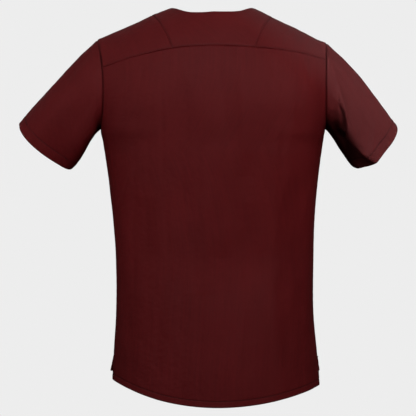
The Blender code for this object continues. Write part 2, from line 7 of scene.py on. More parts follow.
import bpy
import numpy as np
from bpy.props import FloatProperty, FloatVectorProperty, PointerProperty
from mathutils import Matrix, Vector


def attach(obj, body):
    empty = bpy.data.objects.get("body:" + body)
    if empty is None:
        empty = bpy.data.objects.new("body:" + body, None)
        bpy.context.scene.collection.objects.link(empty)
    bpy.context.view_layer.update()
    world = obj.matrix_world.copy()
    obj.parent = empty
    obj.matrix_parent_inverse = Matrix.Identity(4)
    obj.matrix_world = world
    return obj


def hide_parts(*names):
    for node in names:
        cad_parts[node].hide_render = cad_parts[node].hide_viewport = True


bl_info = {
    "name": "Scrub Top Maker",
    "version": (1, 0, 0),
    "blender": (4, 5, 0),
    "location": "3D View > Sidebar > Scrub top",
    "description": "Cuts, sews and dyes a medical scrub top",
    "category": "Add Mesh",
}

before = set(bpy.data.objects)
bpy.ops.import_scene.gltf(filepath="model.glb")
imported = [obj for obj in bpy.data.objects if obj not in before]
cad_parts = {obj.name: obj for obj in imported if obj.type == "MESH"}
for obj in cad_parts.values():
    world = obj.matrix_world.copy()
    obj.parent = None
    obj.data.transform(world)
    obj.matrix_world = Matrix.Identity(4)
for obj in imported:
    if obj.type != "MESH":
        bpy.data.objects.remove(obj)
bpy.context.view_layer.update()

MM = 0.001

HALVINGS = 30  # of the search for a share

# ------------------------------------------------------------------------------
# Sizes of the form: a point on the body has a share, from -1 at its left edge through 0 at the middle to 1 at
# the right edge, and a level, which climbs the back and comes down the front.

HEM, ARMPIT, YOKE, SHOULDER, FRONT_YOKE, FRONT_ARMPIT, FRONT_HEM = range(7)  # levels
VENT = 0.1  # levels from the hem up to the end of the side vent

# Middle line of the body, and how each row leaves it and arrives at the edge.
# slope: how steeply the row falls as it leaves the middle; reach, edge_reach: lengths of its Bezier handles;
# turn: how far round the side it has turned at the edge; dip: how steeply it falls there, in degrees.
MIDDLE_COLUMNS = ("level", "x", "y", "z", "slope", "reach", "edge_reach", "turn", "dip")
MIDDLE = (
    (0.00, 5, -127, -723, 0, 118, 74, 88, 5),
    (0.10, 4, -127, -678, 0, 118, 74, 88, -2),
    (0.35, 2, -123, -564, 0, 116, 70, 88, -14),
    (0.60, 0, -115, -440, 0, 114, 68, 88, -16),
    (0.80, -1, -119, -340, 0, 116, 82, 86, -20),
    (1.00, -1, -125, -238, 0, 122, 96, 80, -22),
    (1.25, -1, -126, -192, 0, 124, 72, 70, -21),
    (1.50, -1, -123, -147, 0, 118, 64, 52, -10),
    (1.75, 0, -115, -103, 0, 104, 60, 38, 2),
    (2.00, 0, -101, -60, 0, 92, 64, 28, 14),
    (2.25, 0, -85, -26, 0, 84, 68, 20, 19),
    (2.50, 0, -64, 3, 0, 78, 70, 12, 22),
    (3.00, 0, 3, 50, 17, 74, 74, 0, 25),
    (3.50, 0, 52, 24, 14, 76, 70, 12, 22),
    (4.00, 0, 81, -28, 0, 86, 66, 26, 16),
    (4.50, 0, 109, -116, 0, 104, 62, 46, -4),
    (5.00, 0, 123, -232, 0, 122, 96, 80, -22),
    (5.20, 0, 119, -340, 0, 116, 82, 86, -20),
    (5.40, 0, 114, -440, 0, 114, 68, 88, -16),
    (5.65, 2, 116, -550, 0, 116, 70, 88, -10),
    (5.90, 4, 119, -640, 0, 116, 72, 88, -6),
    (6.00, 4, 120, -674, 0, 116, 72, 88, -6),
)

BODY_HALF_WIDTH, BODY_HALF_DEPTH = 200, 122  # of the ellipse that the folds are square to

EVENING_REACH = 0.42  # levels from an armpit within which rows are evened out
EVENING_SPAN = 0.24  # how many levels up and down
EVENING_POWER = 12  # how closely this keeps to the edge, which stays as it is

# Side seam from the hem up to the armpit. height: share of the way from the hem's level to the armpit's.
SIDE_COLUMNS = ("height", "left", "right", "y", "left_z", "right_z")
SIDE = (
    (0.00, -192, 201, 2, -684, -694),
    (0.10, -190, 198, 2, -640, -647),
    (0.30, -185, 190, 1, -554, -556),
    (0.50, -185, 190, 0, -462, -462),
    (0.70, -191, 193, 0, -366, -366),
    (0.85, -202, 201, 0, -285, -285),
    (1.00, -214, 212, 0, -209, -209),
)
FRONT_CORNER_Z = -668  # the front hem is shorter than the back one
FRONT_FLARE = (5, 1)  # how far its left and right corner stand out past the back ones
VENT_SPREAD = 5  # how far the two corners of a side vent part

# Armholes: top and bottom of each loop, where the back yoke seam meets it, in degrees from the armpit, and
# how much further in than the line between top and bottom the back edge is cut.
ARMHOLE_COLUMNS = ("side", "top_x", "top_z", "bottom_x", "bottom_z", "yoke_turn", "back_cut")
ARMHOLES = (
    (-1, -222, -40, -214, -209, 109, 10),
    (1, 215, -46, 212, -209, 123, 3),
)
ARMHOLE_DEPTH = 64  # half of it, front to back
ARMHOLE_EGG = 0.16  # the loop is wider near the armpit than near the shoulder
ARMHOLE_FORWARD = 3
ARMHOLE_FRONT_CUT = 13  # the same for the front edge
ARMHOLE_CUT_POWER = 1.5  # how slowly the cut begins at the top and the bottom
FRONT_YOKE_TURN = 232  # where the front yoke seam meets the armhole

# Neck and yoke seams, as distances from the middle at each level. Both V lines end on the middle line.
BACK_NECK_LEVEL = 2.55  # the back neckline at the middle
BACK_NECK_POWER = 3.8  # how squarely it turns up to the shoulder
BOW_POWER = 3  # how fast the bow of the diagonal seams dies away towards the middle of the yoke
SEAM_COLUMNS = ("level", "x")
DIAGONAL_SEAM = ((2.00, 77), (2.16, 84), (2.41, 96), (2.75, 108), (3.00, 114))
FRONT_NECKLINE = ((3.00, 82), (3.50, 74), (4.00, 52), (4.55, 0))
BAND_SEAM = ((3.00, 114), (3.50, 107), (4.00, 86), (4.80, 0))
V_LEVEL = BAND_SEAM[-1][0]  # where the front's edge under the band ends in a point
NECK_SHARE = 2 / 3  # of each half of the yoke's top: the rest is shoulder seam

# Sleeve hems: top and bottom of each ring, how far forward its middle lies, half of its depth from front to
# back, how far it tilts forward, and how the cap leaves the shoulder.
HEM_RING_COLUMNS = (
    "side", "top_x", "top_z", "bottom_x", "bottom_z", "y", "depth", "tilt", "cap_slope", "cap_reach"
)
HEM_RINGS = (
    (-1, -372, -199, -270, -278, 44, 50, 20, 47, 150),
    (1, 351, -196, 269, -280, 44, 50, 25, 38, 160),
)
UNDERARM = (54, 6, -24)  # Bezier handle with which the right sleeve leaves the armpit
BACK_FULLNESS = (30, -18, 0)  # how much further the handle of its back reaches, and of its front falls short
HEM_REACH = (90, 150)  # handle with which a sleeve arrives at its hem, at the bottom and at the top
SLEEVE_LENGTH = 200  # on average, for laying out its folds
CALM_ROOT = 0.2  # share of the sleeve in which its folds rise from nothing

FOLD_RISE_POWER = 0.8  # how slowly a fold rises from its ends
FOLD_EDGE_POWER = 6  # how close to the body's edges its folds stay whole

# Largest folds of the body: each runs from one point to another of the back, side -1, or the front, side 1.
# width: from its middle to where it has lost two thirds of its depth; depth: a trough, or below 0 a ridge.
BODY_FOLD_COLUMNS = ("side", "x_0", "z_0", "x_1", "z_1", "width", "depth")
BODY_FOLDS = (
    (-1, -70, -80, -2, -240, 22, -4),
    (-1, -2, -235, -12, -520, 24, -4),
    (-1, 22, -95, 34, -290, 15, 4),
    (-1, 66, -100, 58, -300, 22, -3),
    (-1, 62, -350, 76, -610, 24, 4),
    (-1, 143, -300, 156, -490, 20, 4),
    (-1, -124, -340, -142, -520, 22, 4),
    (1, -62, -170, -86, -430, 26, -4),
    (1, 24, -240, 40, -480, 20, 4),
    (1, 112, -210, 124, -500, 24, -3),
    (1, -122, -330, -136, -580, 24, 4),
    (1, -8, -400, -20, -640, 24, 3),
)

# Largest folds of the sleeves, from one point to another: degrees round from the armpit, and the way along.
SLEEVE_FOLD_COLUMNS = ("side", "turn_0", "along_0", "turn_1", "along_1", "width", "depth")
SLEEVE_FOLDS = (
    (1, 90, 0.00, 54, 0.66, 16, -10),
    (1, 50, 0.36, 78, 1.30, 16, -11),
    (1, 31, 0.08, 29, 0.94, 15, 7),
    (1, 30, 0.50, 42, 1.16, 14, 5),
    (1, 285, 0.20, 300, 0.90, 18, 4),
    (-1, 42, 0.00, 32, 1.30, 24, -10),
    (-1, 84, 0.10, 78, 0.90, 20, 3),
    (-1, 290, 0.20, 300, 0.90, 18, 4),
)


def columns(names, rows):
    """The table as one array for each named column."""
    return dict(zip(names, np.array(rows, float).T))


MIDDLE_TABLE = columns(MIDDLE_COLUMNS, MIDDLE)
SIDE_TABLE = columns(SIDE_COLUMNS, SIDE)
ARMHOLE_TABLE = columns(ARMHOLE_COLUMNS, ARMHOLES)
NECKLINE_TABLE = columns(SEAM_COLUMNS, FRONT_NECKLINE)
BAND_TABLE = columns(SEAM_COLUMNS, BAND_SEAM)
DIAGONAL_TABLE = columns(SEAM_COLUMNS, DIAGONAL_SEAM)
HEM_RING_TABLE = columns(HEM_RING_COLUMNS, HEM_RINGS)


def hermite(t, start, leaving, end, arriving):
    """Point at t on the cubic from start to end that leaves and arrives with these slopes."""
    return (
        (2 * t**3 - 3 * t**2 + 1) * start
        + (t**3 - 2 * t**2 + t) * leaving
        + (3 * t**2 - 2 * t**3) * end
        + (t**3 - t**2) * arriving
    )


def curve(at, knots, values):
    """A smooth curve through the values at the knots: a cubic Hermite with slopes from the neighbours."""
    at, knots, values = np.asarray(at, float), np.asarray(knots, float), np.asarray(values, float)
    slopes = np.gradient(values, knots)
    i = np.clip(np.searchsorted(knots, at, side="right") - 1, 0, len(knots) - 2)
    step = knots[i + 1] - knots[i]
    t = np.clip((at - knots[i]) / step, 0, 1)
    return hermite(t, values[i], step * slopes[i], values[i + 1], step * slopes[i + 1])


def of_side(table, name, side):
    """The named column's value for each side, -1 or 1."""
    low, high = table[name]
    return np.where(side < 0, low, high)


def unit(vectors):
    """The vectors, each scaled to length 1."""
    return vectors / np.maximum(np.linalg.norm(vectors, axis=-1, keepdims=True), 1e-12)


# ------------------------------------------------------------------------------
# The form


def armhole_turn(side, level):
    """Degrees round the armhole from the armpit, by the back, for a level from 1 to 5."""
    levels = (ARMPIT, YOKE, SHOULDER, FRONT_YOKE, FRONT_ARMPIT)
    yoke_turns = ARMHOLE_TABLE["yoke_turn"]
    left, right = (np.interp(level, levels, (0, turn, 180, FRONT_YOKE_TURN, 360)) for turn in yoke_turns)
    return np.where(side < 0, left, right)


def armhole(side, level):
    """Point on the armhole seam: an egg-shaped loop, leaning out towards the shoulder."""
    turn = np.radians(armhole_turn(side, level))
    top_x, bottom_x = of_side(ARMHOLE_TABLE, "top_x", side), of_side(ARMHOLE_TABLE, "bottom_x", side)
    top_z, bottom_z = of_side(ARMHOLE_TABLE, "top_z", side), of_side(ARMHOLE_TABLE, "bottom_z", side)
    height = (1 - np.cos(turn)) / 2
    cut = np.where(np.sin(turn) > 0, of_side(ARMHOLE_TABLE, "back_cut", side), ARMHOLE_FRONT_CUT)
    x = bottom_x + (top_x - bottom_x) * height**2 - side * cut * np.abs(np.sin(turn)) ** ARMHOLE_CUT_POWER
    y = ARMHOLE_FORWARD * height - ARMHOLE_DEPTH * np.sin(turn) * (1 + ARMHOLE_EGG * np.cos(turn))
    return np.stack([x, y, bottom_z + (top_z - bottom_z) * height], axis=-1)


def side_seam(side, level):
    """Point on the side seam, or on the edge of the vent below it."""
    back = level < SHOULDER
    height = np.clip(np.where(back, level, FRONT_HEM - level), 0, 1)
    at = {name: curve(height, SIDE_TABLE["height"], SIDE_TABLE[name]) for name in SIDE_COLUMNS[1:]}
    x, z = np.where(side < 0, at["left"], at["right"]), np.where(side < 0, at["left_z"], at["right_z"])
    opening = np.clip(1 - height / VENT, 0, 1)
    vent_z = np.interp(VENT, SIDE_TABLE["height"], SIDE_TABLE["left_z"])
    front_z = np.where(opening > 0, vent_z + (FRONT_CORNER_Z - vent_z) * opening, z)
    y = at["y"] + VENT_SPREAD * opening * np.where(back, -1, 1)
    front_x = x + side * np.where(side < 0, *FRONT_FLARE) * opening
    return np.stack([np.where(back, x, front_x), y, np.where(back, z, front_z)], axis=-1)


def edge(side, level):
    """Point where the body ends: on the armhole between the armpits, on the side seam elsewhere."""
    on_armhole = ((level > ARMPIT) & (level < FRONT_ARMPIT))[..., None]
    return np.where(on_armhole, armhole(side, level), side_seam(side, level))


EDGE_GUIDES = {side: edge(side, MIDDLE_TABLE["level"]) for side in (-1, 1)}


def edge_guide(side, level):
    """A line through the edge's points at the middle line's levels, smooth at the armpits too."""
    left, right = (
        np.stack([curve(level, MIDDLE_TABLE["level"], values) for values in EDGE_GUIDES[end].T], axis=-1)
        for end in (-1, 1)
    )
    return np.where((side < 0)[..., None], left, right)


def fold_depth(across, along, row, ends):
    """Depth of one fold: a smooth bump across the line between its ends, fading out towards both."""
    (across_0, along_0), (across_1, along_1) = ends
    run = np.array([across_1 - across_0, along_1 - along_0])
    length = np.hypot(*run)
    way = ((across - across_0) * run[0] + (along - along_0) * run[1]) / length**2
    off = ((across - across_0) * run[1] - (along - along_0) * run[0]) / length
    fade = np.sin(np.pi * np.clip(way, 0, 1)) ** FOLD_RISE_POWER
    return row["depth"] * fade * np.exp(-((off / row["width"]) ** 2))


def body_drawn_in(table, points, level):
    """How far the table's folds draw the body in: the sum of the bumps on this face of it."""
    depth = np.zeros(level.shape)
    for values in table:
        row = dict(zip(BODY_FOLD_COLUMNS, values))
        ends = (row["x_0"], row["z_0"]), (row["x_1"], row["z_1"])
        here = (level < SHOULDER) == (row["side"] < 0)
        depth += here * fold_depth(points[..., 0], points[..., 2], row, ends)
    return depth


def sleeve_drawn_in(table, side, level, along):
    """How far the table's folds draw a sleeve in: the sum of the bumps on this side's."""
    turn, depth = armhole_turn(side, level), np.zeros(level.shape)
    for values in table:
        row = dict(zip(SLEEVE_FOLD_COLUMNS, values))
        if row["side"] == side:
            ends = [(row["turn_" + end], SLEEVE_LENGTH * row["along_" + end]) for end in "01"]
            depth += fold_depth(turn, SLEEVE_LENGTH * along, row, ends)
    return depth


def body(share, level):
    """Point of the body's outer face, with its folds."""
    share, level = np.broadcast_arrays(np.asarray(share, float), np.asarray(level, float))
    points = plain_body(share, level)
    out = unit(points * (BODY_HALF_WIDTH**-2, BODY_HALF_DEPTH**-2, 0))
    depth = body_drawn_in(BODY_FOLDS, points, level) * (1 - np.abs(share) ** FOLD_EDGE_POWER)
    return points - out * depth[..., None]


def plain_body(share, level):
    """Point of the form without folds: a row, evened out with the rows beside it where it nears an armpit."""
    off = np.minimum(np.abs(level - ARMPIT), np.abs(level - FRONT_ARMPIT))
    near = np.clip(1 - off / EVENING_REACH, 0, 1) ** 0.5
    span = EVENING_SPAN * near * (1 - np.abs(share) ** EVENING_POWER)
    return row_point(share, level) / 2 + (row_point(share, level - span) + row_point(share, level + span)) / 4


def row_point(share, level):
    """Point of a row: a Bezier curve from the middle line to the edge."""
    side = np.where(share < 0, -1, 1)
    at = {name: curve(level, MIDDLE_TABLE["level"], MIDDLE_TABLE[name]) for name in MIDDLE_COLUMNS[1:]}
    slope, turn, dip = (np.radians(at[name]) for name in ("slope", "turn", "dip"))
    round_side = np.where(level < SHOULDER, 1, -1)
    start = np.stack([at["x"], at["y"], at["z"]], axis=-1)
    leaving = np.stack([side * np.cos(slope), 0 * slope, -np.sin(slope)], axis=-1)
    arriving = np.stack(
        [side * np.cos(turn) * np.cos(dip), round_side * np.sin(turn) * np.cos(dip), -np.sin(dip)], axis=-1
    )
    end = edge(side, level)
    first = start + at["reach"][..., None] * leaving
    second = edge_guide(side, level) - at["edge_reach"][..., None] * arriving
    t = np.abs(share)[..., None]
    return (1 - t) ** 3 * start + 3 * t * (1 - t) ** 2 * first + 3 * t**2 * (1 - t) * second + t**3 * end


def body_normal(share, level, step=2e-3):
    """Outward normal of the body, from points just beside this one."""
    share, level = np.broadcast_arrays(np.asarray(share, float), np.asarray(level, float))
    before, after = np.clip(level - step, HEM, FRONT_HEM), np.clip(level + step, HEM, FRONT_HEM)
    across = body(np.clip(share + step, -1, 1), level) - body(np.clip(share - step, -1, 1), level)
    return unit(np.cross(across, body(share, after) - body(share, before)))


def share_at(x, level):
    """The share at which the row of this level is as far from the middle as x, found by halving."""
    x, level = np.broadcast_arrays(np.asarray(x, float), np.asarray(level, float))
    side = np.where(x < 0, -1, 1)
    low, high = np.zeros(x.shape), np.ones(x.shape)
    for _ in range(HALVINGS):
        middle = (low + high) / 2
        short = side * (body(side * middle, level)[..., 0] - body(0 * x, level)[..., 0]) < np.abs(x)
        low, high = np.where(short, middle, low), np.where(short, high, middle)
    return side * low


def sleeve_ring(side):
    """Middle of a sleeve's hem ring, its half axes up and back, the way it faces, and its table row."""
    row = {name: float(of_side(HEM_RING_TABLE, name, side)) for name in HEM_RING_COLUMNS}
    top, bottom = (np.array([row[end + "_x"], row["y"], row[end + "_z"]]) for end in ("top", "bottom"))
    forward = np.array([0.0, 1.0, 0.0])
    down_arm = unit(np.cross(top - bottom, forward)) * -side
    tilt = np.radians(row["tilt"])
    facing = np.cos(tilt) * down_arm + np.sin(tilt) * forward
    back = (np.sin(tilt) * down_arm - np.cos(tilt) * forward) * row["depth"]
    return (top + bottom) / 2, (top - bottom) / 2, back, facing, row


def sleeve(side, level, along):
    """Point of a sleeve's outer face, with its folds: along runs from 0 at the armhole to 1 at the hem."""
    level, along = np.broadcast_arrays(np.asarray(level, float), np.asarray(along, float))
    points = plain_sleeve(side, level, along)
    under, over = (plain_sleeve(side, 0 * level + end, along) for end in (ARMPIT, SHOULDER))
    depth = sleeve_drawn_in(SLEEVE_FOLDS, side, level, along) * np.clip(along / CALM_ROOT, 0, 1) ** 2
    return points - unit(points - (under + over) / 2) * depth[..., None]


def plain_sleeve(side, level, along):
    """Point of a sleeve without folds: a Hermite curve from the armhole to the hem ring."""
    middle, up, back, facing, row = sleeve_ring(side)
    turn = np.radians(armhole_turn(side, level))[..., None]
    over, behind = -np.cos(turn), np.sin(turn)
    root, hem = armhole(side, level), middle + over * up + behind * back
    cap = np.radians(row["cap_slope"])
    at_top = np.array([side * np.cos(cap), 0, -np.sin(cap)]) * row["cap_reach"]
    at_bottom, fullness = (np.array(handle) * (side, 1, 1) for handle in (UNDERARM, BACK_FULLNESS))
    high = (1 + over) / 2
    leave = at_bottom + (at_top - at_bottom) * high + behind * fullness
    arrive = facing * (HEM_REACH[0] + (HEM_REACH[1] - HEM_REACH[0]) * high)
    return hermite(along[..., None], root, leave, hem, arrive)


def sleeve_normal(side, level, along, step=2e-3):
    """Outward normal of a sleeve, from points just beside this one."""
    level, along = np.broadcast_arrays(np.asarray(level, float), np.asarray(along, float))
    before, after = np.clip(level - step, ARMPIT, FRONT_ARMPIT), np.clip(level + step, ARMPIT, FRONT_ARMPIT)
    around = sleeve(side, after, along) - sleeve(side, before, along)
    down = sleeve(side, level, np.clip(along + step, 0, 1)) - sleeve(side, level, np.clip(along - step, 0, 1))
    return unit(np.cross(down, around) * side)


def armhole_seam(side, levels):
    """The way the armhole seam faces: the mean of the body's normal and the sleeve's."""
    return unit(body_normal(side, levels) + sleeve_normal(side, levels, 0))


def side_seam_normals(side, levels):
    """The way a side seam faces: the mean of the back's normal and the front's at the same height."""
    return unit(body_normal(side, levels) + body_normal(side, FRONT_HEM - levels))


# ------------------------------------------------------------------------------
# Creases and slackness

# Lesser creases of the body, laid out as BODY_FOLDS is.
BODY_CREASES = (
    (-1, -250, -214, -95, -218, 15, -2.6),
    (-1, 95, -218, 250, -214, 15, -2.6),
    (-1, -70, -80, -2, -240, 22, 2.2),
    (-1, 22, -95, 34, -290, 14, -1.9),
    (-1, 11, -100, 30, -275, 4, 0.8),
    (-1, 48, -66, 57, -290, 7, -1.1),
    (-1, -95, -105, -94, -300, 4, 0.9),
    (-1, -64, -72, -40, -150, 5, -0.7),
    (-1, -6, -130, -12, -330, 5, 0.6),
    (-1, -148, -280, -170, -354, 5, -1.6),
    (-1, -146, -330, -156, -430, 8, 1.7),
    (-1, -150, -425, -152, -560, 8, 1.4),
    (-1, 158, -265, 163, -430, 9, 1.5),
    (-1, 78, -420, 96, -545, 9, 1.2),
    (-1, 128, -210, 118, -360, 6, 0.8),
    (-1, 150, -150, 176, -262, 9, 1.3),
    (-1, 160, -60, 186, -150, 6, 1.0),
    (-1, -150, -100, -178, -205, 8, 1.2),
    (-1, 40, -62, 46, -104, 5, 1.0),
    (-1, 20, -60, 18, -96, 4, -0.8),
    (-1, -24, -64, -30, -112, 5, 0.9),
    (-1, -62, -66, -66, -100, 5, 0.7),
    (-1, 104, -84, 118, -128, 6, 0.8),
    (-1, -128, -88, -136, -140, 6, 0.8),
    (-1, -92, -330, -80, -470, 7, 0.8),
    (-1, -48, -420, -40, -640, 8, -0.9),
    (-1, -22, -500, -26, -715, 7, 0.9),
    (-1, 22, -430, 30, -640, 6, 0.9),
    (-1, 52, -520, 48, -712, 7, -0.9),
    (-1, -98, -500, -106, -700, 9, 1.3),
    (-1, 112, -520, 130, -705, 10, -1.5),
    (-1, -170, -470, -154, -640, 10, 1.4),
    (-1, 166, -420, 174, -600, 9, -1.3),
    (1, -150, -270, -172, -380, 8, 1.6),
    (1, -128, -300, -140, -430, 5, -0.9),
    (1, 150, -150, 172, -262, 10, 1.8),
    (1, 128, -160, 150, -240, 6, -0.9),
    (1, -150, -150, -176, -240, 10, 1.8),
    (1, -118, -150, -138, -230, 6, -0.9),
    (1, 56, -180, 96, -330, 13, 1.8),
    (1, 34, -196, 62, -330, 6, -1.0),
    (1, -40, -190, -22, -330, 12, -1.6),
    (1, -64, -200, -52, -330, 5, 0.9),
    (1, 0, -190, 3, -300, 6, 1.0),
    (1, 118, -330, 130, -480, 6, 0.9),
    (1, 70, -430, 56, -650, 14, 1.8),
    (1, 96, -470, 92, -660, 6, -0.9),
    (1, -66, -470, -80, -640, 12, -1.6),
    (1, -98, -430, -112, -650, 6, 1.0),
    (1, -34, -500, -38, -664, 6, 0.9),
    (1, 24, -480, 20, -660, 6, 0.9),
    (1, 150, -420, 160, -620, 12, 1.6),
    (1, 6, -300, -4, -420, 9, 1.2),
)

# Lesser creases of the sleeves, laid out as SLEEVE_FOLDS is.
SLEEVE_CREASES = (
    (1, 112, 0.10, 34, 0.56, 4, -2.6),
    (1, 100, 0.08, 24, 0.52, 7, 5.0),
    (1, 38, 0.30, 78, 1.20, 4, -2.4),
    (1, 27, 0.30, 60, 1.00, 8, 5.0),
    (1, 72, 0.10, 66, 0.40, 5, 2.4),
    (1, 37, 0.78, 40, 1.42, 16, -5.0),
    (1, 108, 0.30, 96, 1.00, 9, 1.3),
    (1, 128, 0.02, 112, 0.46, 6, 1.1),
    (1, 150, 0.10, 138, 0.70, 10, 1.2),
    (1, 172, 0.05, 168, 0.60, 7, -0.8),
    (1, 216, 0.05, 224, 0.55, 8, 1.2),
    (1, 250, 0.15, 262, 0.85, 9, 1.8),
    (1, 282, 0.30, 288, 0.95, 6, -1.1),
    (1, 310, 0.15, 322, 0.90, 7, 1.8),
    (-1, 30, -0.30, 24, 1.06, 17, -6.0),
    (-1, 184, 0.40, 180, 1.60, 9, -3.2),
    (-1, 118, 0.10, 112, 1.20, 24, -2.5),
    (-1, 78, 0.12, 60, 0.70, 7, 1.3),
    (-1, 96, 0.50, 84, 1.05, 8, -1.0),
    (-1, 120, 0.02, 104, 0.50, 6, 1.1),
    (-1, 146, 0.05, 134, 0.60, 10, 1.2),
    (-1, 170, 0.10, 160, 0.75, 7, -0.8),
    (-1, 216, 0.05, 222, 0.60, 8, 1.2),
    (-1, 252, 0.15, 262, 0.85, 9, 1.8),
    (-1, 284, 0.30, 290, 0.95, 6, -1.1),
    (-1, 312, 0.15, 324, 0.90, 7, 1.8),
)

SLACK_WAVES = 18
SLACK_LENGTHS = (150, 13)  # longest and shortest wave
SLACK_STRETCH = 0.38  # how much slower it changes down the cloth than across it
SLACK_SEED = 5


def slack(points):
    """Slow unevenness of hanging cloth: a sum of slanted sine waves, longer down the cloth than across it,
    each as high as it is long, with the greatest sum near 1."""
    rng = np.random.default_rng(SLACK_SEED)
    total = np.zeros(points.shape[:-1])
    for length in np.geomspace(*SLACK_LENGTHS, SLACK_WAVES):
        way = unit(rng.normal(size=3)) * (1, 1, SLACK_STRETCH)
        total += length * np.sin(points @ way * 2 * np.pi / length + rng.uniform(0, 2 * np.pi))
    return total / (SLACK_LENGTHS[0] * np.sqrt(SLACK_WAVES))


# ------------------------------------------------------------------------------
# Grids that are finer at the seams

SEAM_MARKS = (0, 0.4, 0.9, 1.5, 2.2, 3.2, 4.6, 6.4, 8.7, 9.3, 11.5)
HEM_MARKS = (0, 0.4, 1.0, 2.2, 4.2, 6.4, 8.4, 10.0, 10.8, 11.5, 12.2, 13.0, 13.6, 15.5)
CUFF_MARKS = (0, 0.4, 1.0, 2.5, 5, 8, 11, 14, 17, 19, 20.2, 21, 21.8, 23.0, 23.6, 25.5)
VENT_MARKS = (0, 0.4, 1.0, 2.2, 3.8, 5.6, 6.4, 7.0, 7.6, 8.7, 9.3, 11.5)
BOTH_SEAMS = (SEAM_MARKS, SEAM_MARKS)
MEASURED_POINTS, MEASURED_LINES = 240, 9  # with which a piece's length and width are measured
LINE_INSET = 0.02  # share of the piece by which the first and the last such line lie inside it


def spaced(length, step, first, last):
    """Distances from 0 to the length: the marks at each end, and even steps between them."""
    first, last = np.array(first, float), length - np.array(last, float)[::-1]
    count = max(int(round((last[0] - first[-1]) / step)), 1)
    return np.concatenate([first[:-1], np.linspace(first[-1], last[0], count + 1), last[1:]])


def paced(points, step, first, last):
    """Parameters from 0 to 1 along the points' first axis, at the `spaced` distances on average."""
    lengths = np.linalg.norm(np.diff(points, axis=0), axis=-1).mean(axis=1)
    run = np.concatenate([[0], np.cumsum(lengths)])
    return np.interp(spaced(run[-1], step, first, last), run, np.linspace(0, 1, len(run)))


def laid_out(form, place_at, step, across_marks=BOTH_SEAMS, along_marks=BOTH_SEAMS):
    """Parameters of the columns and rows of a piece whose points are form(*place_at(across, along))."""
    many = np.linspace(0, 1, MEASURED_POINTS)
    few = np.linspace(LINE_INSET, 1 - LINE_INSET, MEASURED_LINES)
    across = paced(form(*place_at(many[:, None], few[None])), step, *across_marks)
    along = paced(form(*place_at(few[None], many[:, None])), step, *along_marks)
    return across[None], along[:, None]


def run_from(points, axis):
    """Distance of each grid point from the first line of the axis, along the cloth."""
    lengths = np.cumsum(np.linalg.norm(np.diff(points, axis=axis), axis=-1), axis=axis)
    return np.concatenate([np.zeros_like(np.take(lengths, [0], axis=axis)), lengths], axis=axis)


def edges_of(points):
    """For each side of the grid: the distance from it and the run along it."""
    across, along = run_from(points, 1), run_from(points, 0)
    return {
        "start": (across, np.broadcast_to(along[:, :1], across.shape)),
        "end": (across[:, -1:] - across, np.broadcast_to(along[:, -1:], across.shape)),
        "low": (along, np.broadcast_to(across[:1], along.shape)),
        "high": (along[-1:] - along, np.broadcast_to(across[-1:], along.shape)),
    }


# ------------------------------------------------------------------------------
# Seams and hems

# valley: how deep the cloth dives into the seam, and its width. lap: how proud the seam allowance below makes
# the cloth, and how far. pucker: height, length and reach of the gathers that the thread makes. turned: how
# much thicker the cloth is inside where it is turned in, and how far. groove: how deep the stitch line pulls
# it in, and where. ripple: height of the slanted ripples of a hem. wear_and_shade: how much its edge is
# rubbed;
# seam_work takes the painted shade of deep valleys and stitch grooves off the same value.
RELIEF_COLUMNS = (
    "valley", "valley_width", "lap", "lap_width", "pucker", "pucker_length", "pucker_reach", "turned",
    "turned_width", "groove", "groove_at", "ripple", "wear_and_shade",
)
SEAMS = {
    "under_yoke": (1.30, 1.3, 0.00, 1, 0.75, 12, 8, 0.0, 1, 0.00, 0.0, 0.00, 0.0),
    "yoke_edge": (1.00, 0.6, 0.50, 9, 0.32, 12, 5, 1.0, 9, 0.28, 1.9, 0.00, 0.25),
    "armhole_body": (2.10, 1.4, 0.35, 9, 0.26, 15, 8, 1.0, 9, 0.20, 1.9, 0.00, 0.2),
    "armhole_sleeve": (2.10, 1.4, 0.00, 1, 0.40, 15, 10, 0.0, 1, 0.00, 0.0, 0.00, 0.0),
    "side": (0.70, 1.4, 0.00, 1, 0.20, 17, 9, 0.9, 9, 0.00, 0.0, 0.00, 0.4),
    "side_front": (0.70, 1.4, 0.00, 1, 0.20, 17, 9, 0.0, 1, 0.00, 0.0, 0.00, 0.4),
    "vent": (0.60, 0.7, 0.15, 9, 0.00, 12, 6, 0.9, 9, 0.35, 7.0, 0.08, 0.8),
    "hem": (0.60, 0.7, 0.05, 13, 0.14, 13, 16, 1.3, 13.3, 0.38, 11.5, 0.24, 0.8),
    "cuff": (0.60, 0.7, 0.05, 23, 0.16, 13, 16, 1.3, 23.3, 0.50, 21.0, 0.26, 0.8),
    "neckline": (0.60, 0.8, 0.20, 7, 0.06, 10, 6, 1.2, 9, 0.22, 5.5, 0.00, 0.8),
    "band": (1.35, 1.2, 0.00, 1, 0.16, 12, 7, 0.0, 1, 0.00, 0.0, 0.00, 0.1),
    "band_outside": (1.35, 1.2, 0.40, 8, 0.18, 12, 7, 1.0, 9, 0.30, 1.9, 0.00, 0.1),
    "shoulder": (0.80, 1.2, 0.00, 1, 0.10, 13, 6, 0.8, 9, 0.00, 0.0, 0.00, 0.4),
}
FLAT_SEAM = 0.7  # share of its relief that the yoke's right slanted seam has, which is pressed flatter
HEM_TWIST = 0.7  # how far a hem's ripples lean
RIPPLE_LENGTH = 9
RIPPLE_RISE, RIPPLE_PAST = 3, 2  # in what distance ripples rise or end, and how far past the stitches they go
PUCKER_RISE = 1.6  # distance from a seam in which its puckers rise
LAP_STEP = 2.5  # width of the step down at the end of a lap
GROOVE_WIDTH = 1.1
GROOVE_SHADE = 1.3  # how dark the painted shade in a groove is for its depth
UNSHADED_VALLEY, VALLEY_SHADE_WIDTH = 1.1, 1.5  # the valley depth past which a seam gets painted shade, and how far from it the shade reaches
WEAR_REACH = 2.2
CALM_REACH = 15  # near an armhole and a side seam the cloth is smooth
CLOTH_LAYER = 0.0008  # metres, the thickness of cloth for which the turnings are given

